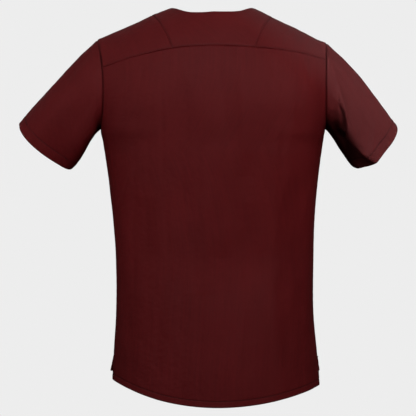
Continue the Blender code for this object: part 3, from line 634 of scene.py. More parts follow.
# Height, length and start of the sines that make puckers and ripples uneven in length and in height.
WANDER = ((1.8, 31, 1), (1.2, 13.7, 2))
MEAN_SWELL, SWELL = 0.58, ((0.26, 23, 0.7), (0.16, 8.3, 0))
MEAN_PULL, PULL_SWING, PULL_LENGTH = 0.75, 0.25, 17  # of the thread on a valley, as a sine along the seam
PULL_WANDER = ((2, 41, 0),)


def eased(x):
    """0 below 0, 1 above 1, with a smooth rise between."""
    x = np.clip(x, 0, 1)
    return x * x * (3 - 2 * x)


def switched(x, width):
    """0 below 0 and 1 above it, with a smooth change of this width between."""
    return eased(x / width + 0.5)


def sines(run, rows):
    """The sum of sines along the run, one for each row's height, length and start."""
    return sum(height * np.sin(run / length + start) for height, length, start in rows)


def waves(run, length):
    """Uneven waves along a seam: a sine whose length and height both wander, from -1 to 1."""
    return (MEAN_SWELL + sines(run, SWELL)) * np.sin(2 * np.pi * run / length + sines(run, WANDER))


def seam_work(edges):
    """Sums what the seams do to the cloth: how far it stands out, how much thicker it is, how worn and how
    darkened by painted shade, how calm.

    Valleys, laps and turnings take the greater where two seams meet; puckers, grooves and ripples add up. The
    thread's pull on a valley wavers between half and all of it. The returned wear_and_shade is below 0 where
    painted shade darkens a deep seam valley or the groove of a row of stitches."""
    shape = edges[0][1].shape
    valley, lap, relief, turned, wear_and_shade, tone = (np.zeros(shape) for _ in range(6))
    calm = np.ones(shape)
    for name, off, run, here in edges:
        kind = dict(zip(RELIEF_COLUMNS, SEAMS[name]))
        pull = MEAN_PULL + PULL_SWING * np.sin(run / PULL_LENGTH + sines(run, PULL_WANDER))
        dive = pull * kind["valley"] * np.exp(-((off / kind["valley_width"]) ** 2))
        valley = np.maximum(valley, here * dive)
        lap = np.maximum(lap, here * kind["lap"] * switched(kind["lap_width"] - off, LAP_STEP))
        fade = (1 - np.exp(-((off / PUCKER_RISE) ** 2))) * np.exp(-off / kind["pucker_reach"])
        relief += here * kind["pucker"] * waves(run, kind["pucker_length"]) * fade
        in_groove = here * kind["groove"] * np.exp(-(((off - kind["groove_at"]) / GROOVE_WIDTH) ** 2))
        # painted shade: deep seam valleys and stitch grooves are darkened where shade falls in them
        valley_shade = here * pull * max(kind["valley"] - UNSHADED_VALLEY, 0) * np.exp(-((off / VALLEY_SHADE_WIDTH) ** 2))
        relief -= in_groove
        tone = np.maximum(tone, np.maximum(in_groove * GROOVE_SHADE, valley_shade))
        between = eased(off / RIPPLE_RISE) * eased((kind["groove_at"] + RIPPLE_PAST - off) / RIPPLE_RISE)
        relief += here * kind["ripple"] * waves(run + HEM_TWIST * off, RIPPLE_LENGTH) * between
        turned = np.maximum(turned, here * kind["turned"] * (off < kind["turned_width"]))
        wear_and_shade = np.maximum(wear_and_shade, here * kind["wear_and_shade"] * np.exp(-off / WEAR_REACH))
        if name.startswith(("armhole", "side")):
            calm = np.minimum(calm, 1 - here * np.exp(-((off / CALM_REACH) ** 2)))
    return lap - valley + relief, turned, wear_and_shade - tone, calm


# ------------------------------------------------------------------------------
# Sheets

EDGE_BULGE = 0.3  # share of its thickness by which a folded edge bulges
TUCK_REACH = 4.0  # how far from a seam its own normals hold

sewn = {}  # each piece's grid, for the stitches that run on it


def sided(name, side):
    """The name with the side that is meant, -1 or 1."""
    return name + ("_left" if side < 0 else "_right")


def meshed(name, points, faces, material):
    """A new object in the scene: a smooth mesh of these points, in metres, and faces."""
    mesh = bpy.data.meshes.new(name)
    mesh.from_pydata(points, [], faces)
    mesh.shade_smooth()
    mesh.materials.append(material)
    piece = bpy.data.objects.new(name, mesh)
    bpy.context.scene.collection.objects.link(piece)
    return piece


def quads(index):
    """The faces of a grid of vertex numbers."""
    corners = index[:-1, :-1], index[:-1, 1:], index[1:, 1:], index[1:, :-1]
    return np.stack(corners, axis=-1).reshape(-1, 4)


def grid_normals(points, towards):
    """Normals of the grid's own surface: across its rows and columns, on the side that `towards` is."""
    normals = unit(np.cross(np.gradient(points, axis=1), np.gradient(points, axis=0)))
    return normals * np.sign(np.sum(normals * towards, axis=-1, keepdims=True) + 1e-9)


def tuck(normals, seam_normals, off):
    """The normals, turned into the seam's own as exp(-(distance / reach) squared) near it."""
    share = np.exp(-((off / TUCK_REACH) ** 2))[..., None]
    return unit(normals * (1 - share) + seam_normals * share)


def cut_of(points, flip):
    """Where each grid point was on the flat cloth: its runs from the first column and the first row."""
    return np.stack([flip * run_from(points, 1), run_from(points, 0)], axis=-1)


def layered(points, normals, level, sides, edges, draw_in, sizes, flip=1):
    """A piece's grid: outer and inner faces, its place on the flat cloth, and what its stitches go by.

    The outer face is the form, less creases, plus slackness and what the seams do."""
    stand, turned, wear_and_shade, calm = seam_work(edges)
    loose = sizes.slackness / MM * slack(points) - sizes.crease_depth * draw_in
    outer = points + normals * (calm * loose + stand * sizes.seam_relief)[..., None]
    inner = outer - normals * (sizes.thickness / MM + turned * sizes.thickness / CLOTH_LAYER)[..., None]
    grid = {"outer": outer, "inner": inner, "wear_and_shade": wear_and_shade, "normals": grid_normals(outer, normals)}
    return {**grid, "cut": cut_of(points, flip), "level": level, "sides": sides}


def closed_sheet(name, grids, indices, cloth):
    """Joins outer faces, their copy inside and a strip round every free edge into one closed mesh.

    The strip bulges out between the two, so that a folded edge is round."""
    outer, inner, wear_and_shade, cut = (
        np.concatenate([grid[key].reshape(-1, size) for grid in grids])
        for key, size in (("outer", 3), ("inner", 3), ("wear_and_shade", 1), ("cut", 2))
    )
    normals = np.concatenate([grid["normals"].reshape(-1, 3) for grid in grids])
    faces = np.concatenate([quads(index) for index in indices])
    used, faces = np.unique(faces, return_inverse=True)
    faces = faces.reshape(-1, 4)
    outer, inner, wear_and_shade, cut, normals = (values[used] for values in (outer, inner, wear_and_shade, cut, normals))
    corners = outer[faces]
    facing = np.cross(corners[:, 2] - corners[:, 0], corners[:, 3] - corners[:, 1])
    if np.sum(facing * normals[faces[:, 0]]) < 0:
        faces = faces[:, ::-1]
    count = len(outer)
    sides = np.stack([faces, np.roll(faces, -1, axis=1)], axis=-1).reshape(-1, 2)
    _, first, times = np.unique(np.sort(sides, axis=1) @ (count, 1), return_index=True, return_counts=True)
    free = sides[first[times == 1]]
    rim = np.unique(free)
    order = np.zeros(count, int)
    order[rim] = np.arange(len(rim))
    run = outer[free[:, 1]] - outer[free[:, 0]]
    away = np.zeros((count, 3))
    for end in (0, 1):
        np.add.at(away, free[:, end], np.cross(run, normals[free[:, end]]))
    wall = np.linalg.norm(outer[rim] - inner[rim], axis=-1, keepdims=True)
    middle = (outer[rim] + inner[rim]) / 2 + unit(away[rim]) * wall * EDGE_BULGE
    (a, b), (in_a, in_b), (mid_a, mid_b) = free.T, free.T + count, order[free.T] + 2 * count
    strip = np.concatenate([np.stack([b, a, mid_a, mid_b], 1), np.stack([mid_b, mid_a, in_a, in_b], 1)])
    faces = np.concatenate([faces, faces[:, ::-1] + count, strip])
    points = np.concatenate([outer, inner, middle])
    piece = meshed(name, (points * MM).tolist(), faces.tolist(), cloth)
    mesh = piece.data
    inside = np.repeat((0.0, 1.0, 0.5), (count, count, len(rim)))
    # wear_and_shade carries the rubbed edges and, below 0, the painted shade of seams and stitch grooves
    for title, values in (("wear_and_shade", np.concatenate([wear_and_shade, wear_and_shade, wear_and_shade[rim]])), ("inside", inside)):
        mesh.attributes.new(title, "FLOAT", "POINT").data.foreach_set("value", values.ravel())
    corner_points = np.empty(len(mesh.loops), np.int32)
    mesh.loops.foreach_get("vertex_index", corner_points)
    all_cut = np.concatenate([cut, cut, cut[rim]]) * MM
    mesh.uv_layers.new(name="cut").data.foreach_set("uv", all_cut[corner_points].ravel())
    return piece


def index_of(points, first=0):
    """Numbers the grid's points row by row."""
    return first + np.arange(points[..., 0].size).reshape(points.shape[:2])


def closed_piece(name, grid, cloth):
    """The sheet of a piece that is one grid, which is kept for its stitches."""
    sewn[name] = grid
    return closed_sheet(name + "_cloth", [grid], [index_of(grid["outer"])], cloth)


# ------------------------------------------------------------------------------
# Pieces

# Width of the change from one kind of seam to the next, in levels or, at the neck's corner, in shares.
VENT_CHANGE, ARMPIT_CHANGE, CORNER_CHANGE, SHOULDER_CHANGE = 0.004, 0.02, 0.02, 0.05
BAND_FINENESS = 0.8  # share of the grid's step that the narrow neck band has


def on_body(share, level):
    """The body's points and normals at these places, their sides, and a 1 for each point."""
    points = body(share, level)
    return points, body_normal(share, level), edges_of(points), np.ones(share.shape)


def body_grid(points, normals, level, sides, edges, sizes, flip=1):
    """The grid of a piece of the body, with its lesser creases."""
    draw_in = body_drawn_in(BODY_CREASES, points, level)
    return layered(points, normals, level, sides, edges, draw_in, sizes, flip)


def panel_edges(normals, levels, seam_side, off, run, front):
    """The kinds of seam up the side of a panel: a vent, a side seam and an armhole, and the bent normals."""
    height = np.where(levels < SHOULDER, levels, FRONT_HEM - levels)
    vent = 1 - switched(height - VENT, VENT_CHANGE)
    armhole_here = switched(height - ARMPIT, ARMPIT_CHANGE)
    side_here = (1 - vent) * (1 - armhole_here)
    seam_normals = np.where(
        (height > ARMPIT)[..., None],
        armhole_seam(seam_side, np.clip(levels, ARMPIT, FRONT_ARMPIT)),
        side_seam_normals(seam_side, levels),
    )
    seam_normals = unit(seam_normals * (1 - vent)[..., None] + normals * vent[..., None])
    kinds = (("vent", vent), ("side_front" if front else "side", side_here), ("armhole_body", armhole_here))
    edges = [(name, off, run, np.broadcast_to(here, off.shape)) for name, here in kinds]
    return edges, tuck(normals, seam_normals, off)


def back_panel(sizes, cloth):
    """The back: rows of the form from the hem to the yoke seam, columns from the left edge to the right."""

    def place_at(across, along):
        return np.broadcast_arrays(2 * across - 1, YOKE * along)

    marks = (VENT_MARKS, VENT_MARKS), (HEM_MARKS, SEAM_MARKS)
    share, level = place_at(*laid_out(body, place_at, sizes.grid_step / MM, *marks))
    points, normals, sides, ones = on_body(share, level)
    edges = [("hem", *sides["low"], ones), ("under_yoke", *sides["high"], ones)]
    for side, name in ((-1, "start"), (1, "end")):
        found, normals = panel_edges(normals, level, side, *sides[name], False)
        edges += found
    return closed_piece("back", body_grid(points, normals, level, sides, edges, sizes), cloth)


def v_edge(level):
    """Share at which the front ends at the V band: 0 below the point of the V."""
    level = np.asarray(level, float)
    above = np.minimum(level, V_LEVEL)
    x = curve(above, BAND_TABLE["level"], BAND_TABLE["x"])
    return np.where(level < V_LEVEL, share_at(np.maximum(x, 0), above), 0)


def front_half(side, step):
    """Places of half of the front: rows from the hem to the yoke seam, columns outwards from the middle or V.

    One row lies at the point of the V."""

    def place_at(across, along):
        level = FRONT_HEM - (FRONT_HEM - FRONT_YOKE) * along
        inner = v_edge(level)
        return np.broadcast_arrays(inner + (1 - inner) * across, level)

    across, along = laid_out(body, place_at, step, (SEAM_MARKS, VENT_MARKS), (HEM_MARKS, SEAM_MARKS))
    point = (FRONT_HEM - V_LEVEL) / (FRONT_HEM - FRONT_YOKE)
    along[np.argmin(np.abs(along - point))] = point
    share, level = place_at(across, along)
    return side * share, level


def front_panel(sizes, cloth):
    """The front: two halves that share their middle line below the point of the V."""
    grids, indices, count = [], [], 0
    for side in (-1, 1):
        share, level = front_half(side, sizes.grid_step / MM)
        points, normals, sides, ones = on_body(share, level)
        edges = [("hem", *sides["low"], ones), ("under_yoke", *sides["high"], ones)]
        found, normals = panel_edges(normals, level, side, *sides["end"], True)
        tip = points[np.argmin(np.abs(level[:, 0] - V_LEVEL)), 0]
        off_v = np.where(level > V_LEVEL, np.linalg.norm(points - tip, axis=-1), sides["start"][0])
        edges += found + [("band_outside", off_v, sides["start"][1], ones)]
        grid = body_grid(points, normals, level, sides, edges, sizes, side)
        grid["cut"][..., 0] += side * np.abs(points[:, :1, 0] - points[0, 0, 0]) * (level <= V_LEVEL)
        index = index_of(points, count)
        if indices:
            shared = level[:, 0] >= V_LEVEL - 1e-9
            index[shared, 0] = indices[0][shared, 0]
        sewn[sided("front", side)] = grid
        grids.append(grid)
        indices.append(index)
        count += points[..., 0].size
    indices[0] = indices[0][:, ::-1]
    return closed_sheet("front_cloth", grids, indices, cloth)


def yoke_centre(sizes, cloth):
    """The piece behind the neck: rows from the yoke seam up to the neckline and the two shoulder lines."""
    neck_edge, diagonal_top = FRONT_NECKLINE[0][1], DIAGONAL_SEAM[-1][1]

    def place_at(across, along):
        across, along = np.broadcast_arrays(2 * across - 1, along)
        out = np.abs(across)
        top_x = np.interp(out, (0, NECK_SHARE, 1), (0, neck_edge, diagonal_top))
        rise = (SHOULDER - BACK_NECK_LEVEL) * np.minimum(top_x / neck_edge, 1) ** BACK_NECK_POWER
        bottom_x = DIAGONAL_SEAM[0][1] * out
        line = YOKE + (SHOULDER - YOKE) * along
        straight = np.interp(along, (0, 1), (DIAGONAL_SEAM[0][1], diagonal_top))
        bow = curve(line, DIAGONAL_TABLE["level"], DIAGONAL_TABLE["x"]) - straight
        x = bottom_x + (top_x - bottom_x) * along + out**BOW_POWER * bow
        level = YOKE + (BACK_NECK_LEVEL + rise - YOKE) * along
        return share_at(x, level) * np.sign(across), level

    across, along = laid_out(body, place_at, sizes.grid_step / MM)
    for corner in ((1 - NECK_SHARE) / 2, (1 + NECK_SHARE) / 2):
        across[0, np.argmin(np.abs(across - corner))] = corner
    share, level = place_at(across, along)
    points, normals, sides, ones = on_body(share, level)
    at_arm = switched(np.abs(2 * across - 1) - NECK_SHARE, CORNER_CHANGE) * ones
    edges = [
        ("yoke_edge", *sides["low"], ones),
        ("neckline", *sides["high"], 1 - at_arm),
        ("shoulder", *sides["high"], at_arm),
        ("yoke_edge", *sides["start"], ones),
        ("yoke_edge", *sides["end"], FLAT_SEAM * ones),
    ]
    return closed_piece("yoke_centre", body_grid(points, normals, level, sides, edges, sizes), cloth)


def shoulder_yoke(side, sizes, cloth):
    """The piece over one shoulder: rows from the back yoke seam to the front one, columns outwards."""

    def place_at(across, along):
        level = YOKE + (FRONT_YOKE - YOKE) * along
        back_x, front_x = (curve(level, table["level"], table["x"]) for table in (DIAGONAL_TABLE, BAND_TABLE))
        inner = share_at(np.where(level < SHOULDER, back_x, front_x), level)
        return np.broadcast_arrays(side * (inner + (1 - inner) * across), level)

    share, level = place_at(*laid_out(body, place_at, sizes.grid_step / MM))
    points, normals, sides, ones = on_body(share, level)
    normals = tuck(normals, armhole_seam(side, level), sides["end"][0])
    behind = switched(SHOULDER - level, SHOULDER_CHANGE)
    edges = [
        ("yoke_edge", *sides["low"], ones),
        ("yoke_edge", *sides["high"], ones),
        ("under_yoke", *sides["start"], behind * (1 if side < 0 else FLAT_SEAM)),
        ("band_outside", *sides["start"], 1 - behind),
        ("armhole_body", *sides["end"], ones),
    ]
    grid = body_grid(points, normals, level, sides, edges, sizes, side)
    return closed_piece(sided("yoke", side), grid, cloth)


def neck_band(side, sizes, cloth):
    """One half of the V band: rows from the shoulder to the middle, columns from the neckline outwards."""

    def place_at(across, along):
        outer_level = SHOULDER + (V_LEVEL - SHOULDER) * along
        neck_level = SHOULDER + (FRONT_NECKLINE[-1][0] - SHOULDER) * along
        inner_x = curve(neck_level, NECKLINE_TABLE["level"], NECKLINE_TABLE["x"])
        outer_x = curve(outer_level, BAND_TABLE["level"], BAND_TABLE["x"])
        level = neck_level + (outer_level - neck_level) * across
        return side * share_at(np.maximum(inner_x + (outer_x - inner_x) * across, 0), level), level

    share, level = place_at(*laid_out(body, place_at, sizes.grid_step / MM * BAND_FINENESS))
    points, normals, sides, ones = on_body(share, level)
    kinds = (("neckline", "start"), ("band", "end"), ("shoulder", "low"), ("band", "high"))
    edges = [(kind, *sides[name], ones) for kind, name in kinds]
    grid = body_grid(points, normals, level, sides, edges, sizes, side)
    return closed_piece(sided("band", side), grid, cloth)


def sleeve_piece(side, sizes, cloth):
    """A set-in sleeve: rows round the arm from its underarm seam back to it, columns from armhole to hem."""

    def place_at(across, along):
        return side, ARMPIT + (FRONT_ARMPIT - ARMPIT) * along, across

    _, level, down = place_at(*laid_out(sleeve, place_at, sizes.grid_step / MM, (SEAM_MARKS, CUFF_MARKS)))
    level, down = np.broadcast_arrays(level, down)
    points, normals = sleeve(side, level, down), sleeve_normal(side, level, down)
    sides, ones = edges_of(points), np.ones(level.shape)
    under = unit(normals[:1] + normals[-1:])
    for name, seam_normals in (("low", under), ("high", under), ("start", armhole_seam(side, level))):
        normals = tuck(normals, seam_normals, sides[name][0])
    kinds = (("armhole_sleeve", "start"), ("cuff", "end"), ("side", "low"), ("side_front", "high"))
    edges = [(kind, *sides[name], ones) for kind, name in kinds]
    draw_in = sleeve_drawn_in(SLEEVE_CREASES, side, level, down)
    grid = layered(points, normals, level, sides, edges, draw_in, sizes, side)
    return closed_piece(sided("sleeve", side), grid, cloth)


# ------------------------------------------------------------------------------
# Stitches

# Where the rows of stitches run, each in the groove of its seam: the piece, or the pair of them, the sides of
# its grid, the kind of seam, and the levels between which they run, where that isn't all the way.
STITCH_COLUMNS = ("piece", "ends", "edges", "seam", "between")
ONE, PAIR = ("",), ("_left", "_right")
STITCHES = (
    ("yoke_centre", ONE, ("low", "start", "end"), "yoke_edge", None),
    ("yoke_centre", ONE, ("high",), "neckline", None),
    ("yoke", PAIR, ("low", "high"), "yoke_edge", None),
    ("yoke", PAIR, ("end",), "armhole_body", None),
    ("yoke", PAIR, ("start",), "band_outside", (3.02, 4.0)),
    ("back", ONE, ("low",), "hem", None),
    ("back", ONE, ("start", "end"), "vent", (0.016, 0.105)),
    ("back", ONE, ("start", "end"), "armhole_body", (1.0, 2.0)),
    ("front", PAIR, ("low",), "hem", None),
    ("front", PAIR, ("end",), "vent", (5.895, 5.984)),
    ("front", PAIR, ("end",), "armhole_body", (4.0, 5.0)),
    ("front", PAIR, ("start",), "band_outside", (4.0, 4.79)),
    ("band", PAIR, ("start",), "neckline", None),
    ("sleeve", PAIR, ("end",), "cuff", None),
)
STITCH_RINGS = ((-0.32, 0.8), (0.0, 1.0), (0.32, 0.8))  # place along the stitch, and share of its thickness
STITCH_SIDES = 6
STITCH_RISE, STITCH_BOW, TIP_DEPTH = 0.2, 4.5, 0.9  # shares of the thread's thickness


def line_on(grid, edge, off):
    """Points and normals of the line at this distance from a side of the grid, one for each row or column."""
    distance = grid["sides"][edge][0]
    layers = grid["outer"], grid["normals"]
    if edge in ("low", "high"):
        distance, layers = distance.T, [layer.transpose(1, 0, 2) for layer in layers]
    if edge in ("end", "high"):
        distance, layers = distance[:, ::-1], [layer[:, ::-1] for layer in layers]
    after = np.clip(np.sum(distance < off, axis=1), 1, distance.shape[1] - 1)
    rows = np.arange(len(after))
    low, high = distance[rows, after - 1], distance[rows, after]
    share = ((off - low) / (high - low))[:, None]
    points, normals = (layer[rows, after - 1] * (1 - share) + layer[rows, after] * share for layer in layers)
    return points, unit(normals)


def stitch_row(points, normals, length, gap, thickness):
    """Beads of thread along a line: each is three rings and two tips, its ends sunk into the cloth."""
    run = np.concatenate([[0], np.cumsum(np.linalg.norm(np.diff(points, axis=0), axis=-1))])
    count = int(run[-1] // (length + gap))
    centres = (np.arange(count) + 0.5) * run[-1] / max(count, 1)

    def at(values, where):
        return np.stack([np.interp(where, run, values[:, axis]) for axis in range(3)], axis=-1)

    way = unit(at(points, centres + length / 2) - at(points, centres - length / 2))
    up = unit(at(normals, centres))
    across = unit(np.cross(way, up))
    middle = at(points, centres)
    turns = np.linspace(0, 2 * np.pi, STITCH_SIDES, endpoint=False)
    rings = []
    for place, share in STITCH_RINGS:
        rise = thickness * (STITCH_RISE - STITCH_BOW * place**2)
        centre = middle + way * length * place + up * rise
        radius = thickness / 2 * share
        spokes = np.cos(turns)[:, None] * across[:, None] + np.sin(turns)[:, None] * up[:, None]
        rings.append(centre[:, None] + spokes * radius)
    tips = [middle + way * length * end - up * thickness * TIP_DEPTH for end in (-0.5, 0.5)]
    verts = np.concatenate(rings + [tip[:, None] for tip in tips], axis=1)
    k, m = np.arange(STITCH_SIDES), STITCH_SIDES
    after = (k + 1) % m
    sides = [np.stack([r * m + k, r * m + after, (r + 1) * m + after, (r + 1) * m + k], 1) for r in (0, 1)]
    first = np.stack([np.full(m, 3 * m), after, k], 1)
    last = np.stack([np.full(m, 3 * m + 1), 2 * m + k, 2 * m + after], 1)
    return verts, np.concatenate(sides), np.concatenate([first, last])


def thread_piece(name, rows, sizes, thread):
    """Joins rows of stitches into one mesh."""
    verts, four, three, count = [], [], [], 0
    for points, normals in rows:
        beads, sides, tips = stitch_row(
            points, normals, sizes.stitch_length / MM, sizes.stitch_gap / MM, sizes.thread / MM
        )
        starts = count + np.arange(len(beads))[:, None, None] * beads.shape[1]
        verts.append(beads.reshape(-1, 3))
        four.append((sides[None] + starts).reshape(-1, 4))
        three.append((tips[None] + starts).reshape(-1, 3))
        count += beads.shape[0] * beads.shape[1]
    faces = np.concatenate(four).tolist() + np.concatenate(three).tolist()
    piece = meshed(name, (np.concatenate(verts) * MM).tolist(), faces, thread)
    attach(piece, "root")
    return piece


def stitch_lines(pieces):
    """Points and normals of the table's lines on these pieces."""
    found = []
    for values in STITCHES:
        row = dict(zip(STITCH_COLUMNS, values))
        if row["piece"] not in pieces:
            continue
        off = dict(zip(RELIEF_COLUMNS, SEAMS[row["seam"]]))["groove_at"]
        for grid, edge in ((sewn[row["piece"] + end], edge) for end in row["ends"] for edge in row["edges"]):
            points, normals = line_on(grid, edge, off)
            if row["between"]:
                level, (low, high) = grid["level"][:, 0], row["between"]
                here = (level >= low) & (level <= high)
                points, normals = points[here], normals[here]
            found.append((points, normals))
    return found


# ------------------------------------------------------------------------------
# Finishes

PAINTED_SHEEN = (0.0625, 0.0142, 0.0148)  # painted sheen: a paler, less red colour toward the right shoulder and sleeve, standing in for the light's sheen there
SHEEN_WAY, SHEEN_SPAN = (1.0, 0.0, 1.2), (0.03, 0.12)  # the way the painted sheen grows on the body, and the metres along it
SLEEVE_SHEEN_SPAN = (0.205, 0.25)  # the metres across which the painted sheen grows on the sleeve
PAPER_SPAN = (1.8, 4.2)  # distances between which the floor's paper pales


def filled(tree, socket, value):
    """Fills a socket: links it to another node's output, or sets its value."""
    if isinstance(value, bpy.types.NodeSocket):
        tree.links.new(value, socket)
    else:
        socket.default_value = value


def added(tree, kind, *terms, operation=None, **sockets):
    """A new node of this kind: the terms fill its sockets in order, and the rest those of the names given."""
    node = tree.nodes.new("ShaderNode" + kind)
    if operation:
        node.operation = operation
    for socket, value in zip(node.inputs, terms):
        filled(tree, socket, value)
    for name, value in sockets.items():
        filled(tree, node.inputs[name.replace("_", " ")], value)
    return node


def ramped(tree, factor, *stops):
    """The colour between two stops, each a place and a colour, at this factor."""
    ramp = added(tree, "ValToRGB", factor)
    for element, (place, colour) in zip(ramp.color_ramp.elements, stops):
        element.position, element.color = place, (*colour, 1)
    return ramp.outputs["Color"]


def plain_material(name, roughness, specular):
    """A new material, its node tree and its shader, which has this roughness and gloss."""
    material = bpy.data.materials.new(name)
    material.use_nodes = True
    shader = material.node_tree.nodes["Principled BSDF"]
    shader.inputs["Roughness"].default_value = roughness
    shader.inputs["Specular IOR Level"].default_value = specular
    return material, material.node_tree, shader


def shade(colour, share):
    """The colour, darker or lighter by this share."""
    return [c * share for c in colour]


def twill(name, colour, deep):
    """Dyed twill: steep diagonal ribs across the cut, uneven yarn, slow clouds in the dye, rubbed edges, a
    painted sheen toward the right shoulder and sleeve, and painted shade in deep seams and stitch grooves.
    """
    material, tree, shader = plain_material(name, roughness=0.62, specular=0.065)
    cut = added(tree, "UVMap")
    cut.uv_map = "cut"
    flat, place = cut.outputs["UV"], added(tree, "TexCoord").outputs["Object"]

    def noise(vector, **sockets):
        return added(tree, "TexNoise", Vector=vector, **sockets).outputs["Fac"]

    def mapped(**sockets):
        return added(tree, "Mapping", Vector=flat, **sockets).outputs["Vector"]

    def attribute(title):
        node = added(tree, "Attribute")
        node.attribute_name = title
        return node.outputs["Fac"]

    def mixed(low, high, factor, span):
        ranged = added(tree, "MapRange", Value=factor, From_Min=span[0], From_Max=span[1])
        mix = added(tree, "Mix", Factor=ranged.outputs["Result"])
        mix.data_type = "RGBA"
        for socket, value in ((mix.inputs[6], low), (mix.inputs[7], high)):
            filled(tree, socket, value if isinstance(value, bpy.types.NodeSocket) else (*value, 1))
        return mix.outputs[2]

    slanted = mapped(Rotation=(0, 0, np.radians(27)))
    ribs = added(tree, "TexWave", slanted, Scale=310, Distortion=1.2, Detail=1, Detail_Scale=2).outputs["Fac"]
    yarn = noise(flat, Scale=1500, Detail=2, Roughness=0.6)
    slub = noise(mapped(Scale=(1, 0.25, 1)), Scale=420, Detail=3, Roughness=0.65)
    warp = noise(mapped(Scale=(1, 0.035, 1)), Scale=210, Detail=4, Roughness=0.6)
    clouds = noise(place, Scale=9, Detail=3, Roughness=0.5)
    crumple = noise(place, Scale=75, Detail=3, Roughness=0.55)
    toward_sheen = added(tree, "VectorMath", place, SHEEN_WAY, operation="DOT_PRODUCT").outputs["Value"]
    across_to_sheen = added(tree, "SeparateXYZ", place).outputs["X"]
    # wear_and_shade: above 0 an edge is rubbed paler, below 0 painted shade darkens a seam or a stitch groove
    wear_and_shade = attribute("wear_and_shade")
    rubbing = added(tree, "Math", wear_and_shade, yarn, operation="MULTIPLY").outputs["Value"]

    # Each colour that is mixed in, what mixes it in, and the values of that between which it rises.
    layers = (
        (shade(colour, 1.12), clouds, (0.3, 0.7)),
        # painted sheen: PAINTED_SHEEN is mixed in toward the upper right of the body and across the right
        # sleeve, where the light's sheen falls
        (PAINTED_SHEEN, toward_sheen, SHEEN_SPAN),
        (PAINTED_SHEEN, across_to_sheen, SLEEVE_SHEEN_SPAN),
        (shade(colour, 1.5), warp, (0.35, 1.3)),
        (shade(colour, 0.72), slub, (0.45, 1.35)),
        (shade(colour, 1.25), ribs, (0.55, 2.2)),
        ([c * 1.5 + 0.012 for c in colour], rubbing, (0.05, 0.9)),
        # painted shade: where wear_and_shade is below 0 the dye darkens to a fifth, in deep seam valleys and
        # stitch grooves
        (shade(colour, 0.2), wear_and_shade, (0.0, -1.0)),
        (deep, attribute("inside"), (0.4, 2.2)),
    )
    dyed = shade(colour, 0.88)
    for high, factor, span in layers:
        dyed = mixed(dyed, high, factor, span)
    filled(tree, shader.inputs["Base Color"], dyed)

    height = added(tree, "Math", yarn, 0.6, ribs, operation="MULTIPLY_ADD").outputs["Value"]
    rumpled = added(tree, "Bump", Strength=0.8, Distance=0.0011, Height=crumple).outputs["Normal"]
    woven = added(tree, "Bump", Strength=0.55, Distance=0.00016, Height=height, Normal=rumpled)
    filled(tree, shader.inputs["Normal"], woven.outputs["Normal"])
    return material


def sewing_thread(name, colour):
    """Spun polyester thread: soft gloss, with colour that varies from stitch to stitch."""
    material, tree, shader = plain_material(name, roughness=0.55, specular=0.2)
    place = added(tree, "TexCoord").outputs["Object"]
    tone = added(tree, "TexNoise", Vector=place, Scale=700).outputs["Fac"]
    dyed = ramped(tree, tone, (0.3, shade(colour, 0.75)), (0.7, shade(colour, 1.3)))
    filled(tree, shader.inputs["Base Color"], dyed)
    spun = added(tree, "Bump", Strength=0.4, Distance=0.00008, Height=tone)
    filled(tree, shader.inputs["Normal"], spun.outputs["Normal"])
    return material


def paper(name, colour):
    """Matt studio paper with a faint grain, paler away from the middle, where less light falls on it."""
    material, tree, shader = plain_material(name, roughness=0.95, specular=0.05)
    place = added(tree, "TexCoord").outputs["Object"]
    far = added(tree, "VectorMath", place, operation="LENGTH").outputs["Value"]
    pale = added(tree, "MapRange", Value=far, From_Min=PAPER_SPAN[0], From_Max=PAPER_SPAN[1])
    grain = added(tree, "TexNoise", Vector=place, Scale=3).outputs["Fac"]
    grained = added(tree, "Math", grain, 0.02, pale.outputs["Result"], operation="MULTIPLY_ADD")
    light = [min(c * 1.7, 0.92) for c in colour]
    finish = ramped(tree, grained.outputs["Value"], (0, colour), (1, light))
    filled(tree, shader.inputs["Base Color"], finish)
    return material


# ------------------------------------------------------------------------------
# Add-on


class ClothSizes(bpy.types.PropertyGroup):
    """Sizes of the cloth and its sewing."""

    thickness: FloatProperty(
        name="Cloth", description="Thickness of one layer", default=CLOTH_LAYER, unit="LENGTH"
    )
    grid_step: FloatProperty(
        name="Grid step", description="Size of the sheets' quads", default=0.0030, unit="LENGTH"
    )
    slackness: FloatProperty(
        name="Slackness", description="Height of the slow unevenness", default=0.0022, unit="LENGTH"
    )
    crease_depth: FloatProperty(name="Crease depth", description="Share of the tables' depths", default=1.0)
    seam_relief: FloatProperty(name="Seam relief", description="Share of the seams' relief", default=1.0)
    stitch_length: FloatProperty(
        name="Stitch", description="Length of a stitch", default=0.0026, unit="LENGTH"
    )
    stitch_gap: FloatProperty(name="Gap", description="Between two stitches", default=0.0007, unit="LENGTH")
    thread: FloatProperty(
        name="Thread", description="Thickness of the thread", default=0.00042, unit="LENGTH"
    )


class DyeColours(bpy.types.PropertyGroup):
    """Colours of the cloth and the thread."""

    cloth: FloatVectorProperty(
        name="Cloth", description="Dyed twill", subtype="COLOR", default=(0.056, 0.0037, 0.0043), size=3
    )
    inside: FloatVectorProperty(
        name="Inside", description="Its wrong side", subtype="COLOR", default=(0.045, 0.005, 0.006), size=3
    )
    thread: FloatVectorProperty(
        name="Thread", description="Sewing thread", subtype="COLOR", default=(0.011, 0.0010, 0.0012), size=3
    )


class StudioSettings(bpy.types.PropertyGroup):
    """The floor and the lights."""

    floor: FloatVectorProperty(
        name="Floor", description="Pale paper", subtype="COLOR", default=(0.44, 0.44, 0.44), size=3
    )
    lights: FloatProperty(name="Lights", description="Share of the table's powers", default=1.0)
    fill: FloatProperty(name="Fill", description="Brightness of the light from above", default=0.31)
    backdrop: FloatProperty(name="Backdrop", description="Brightness of the backdrop", default=0.847)


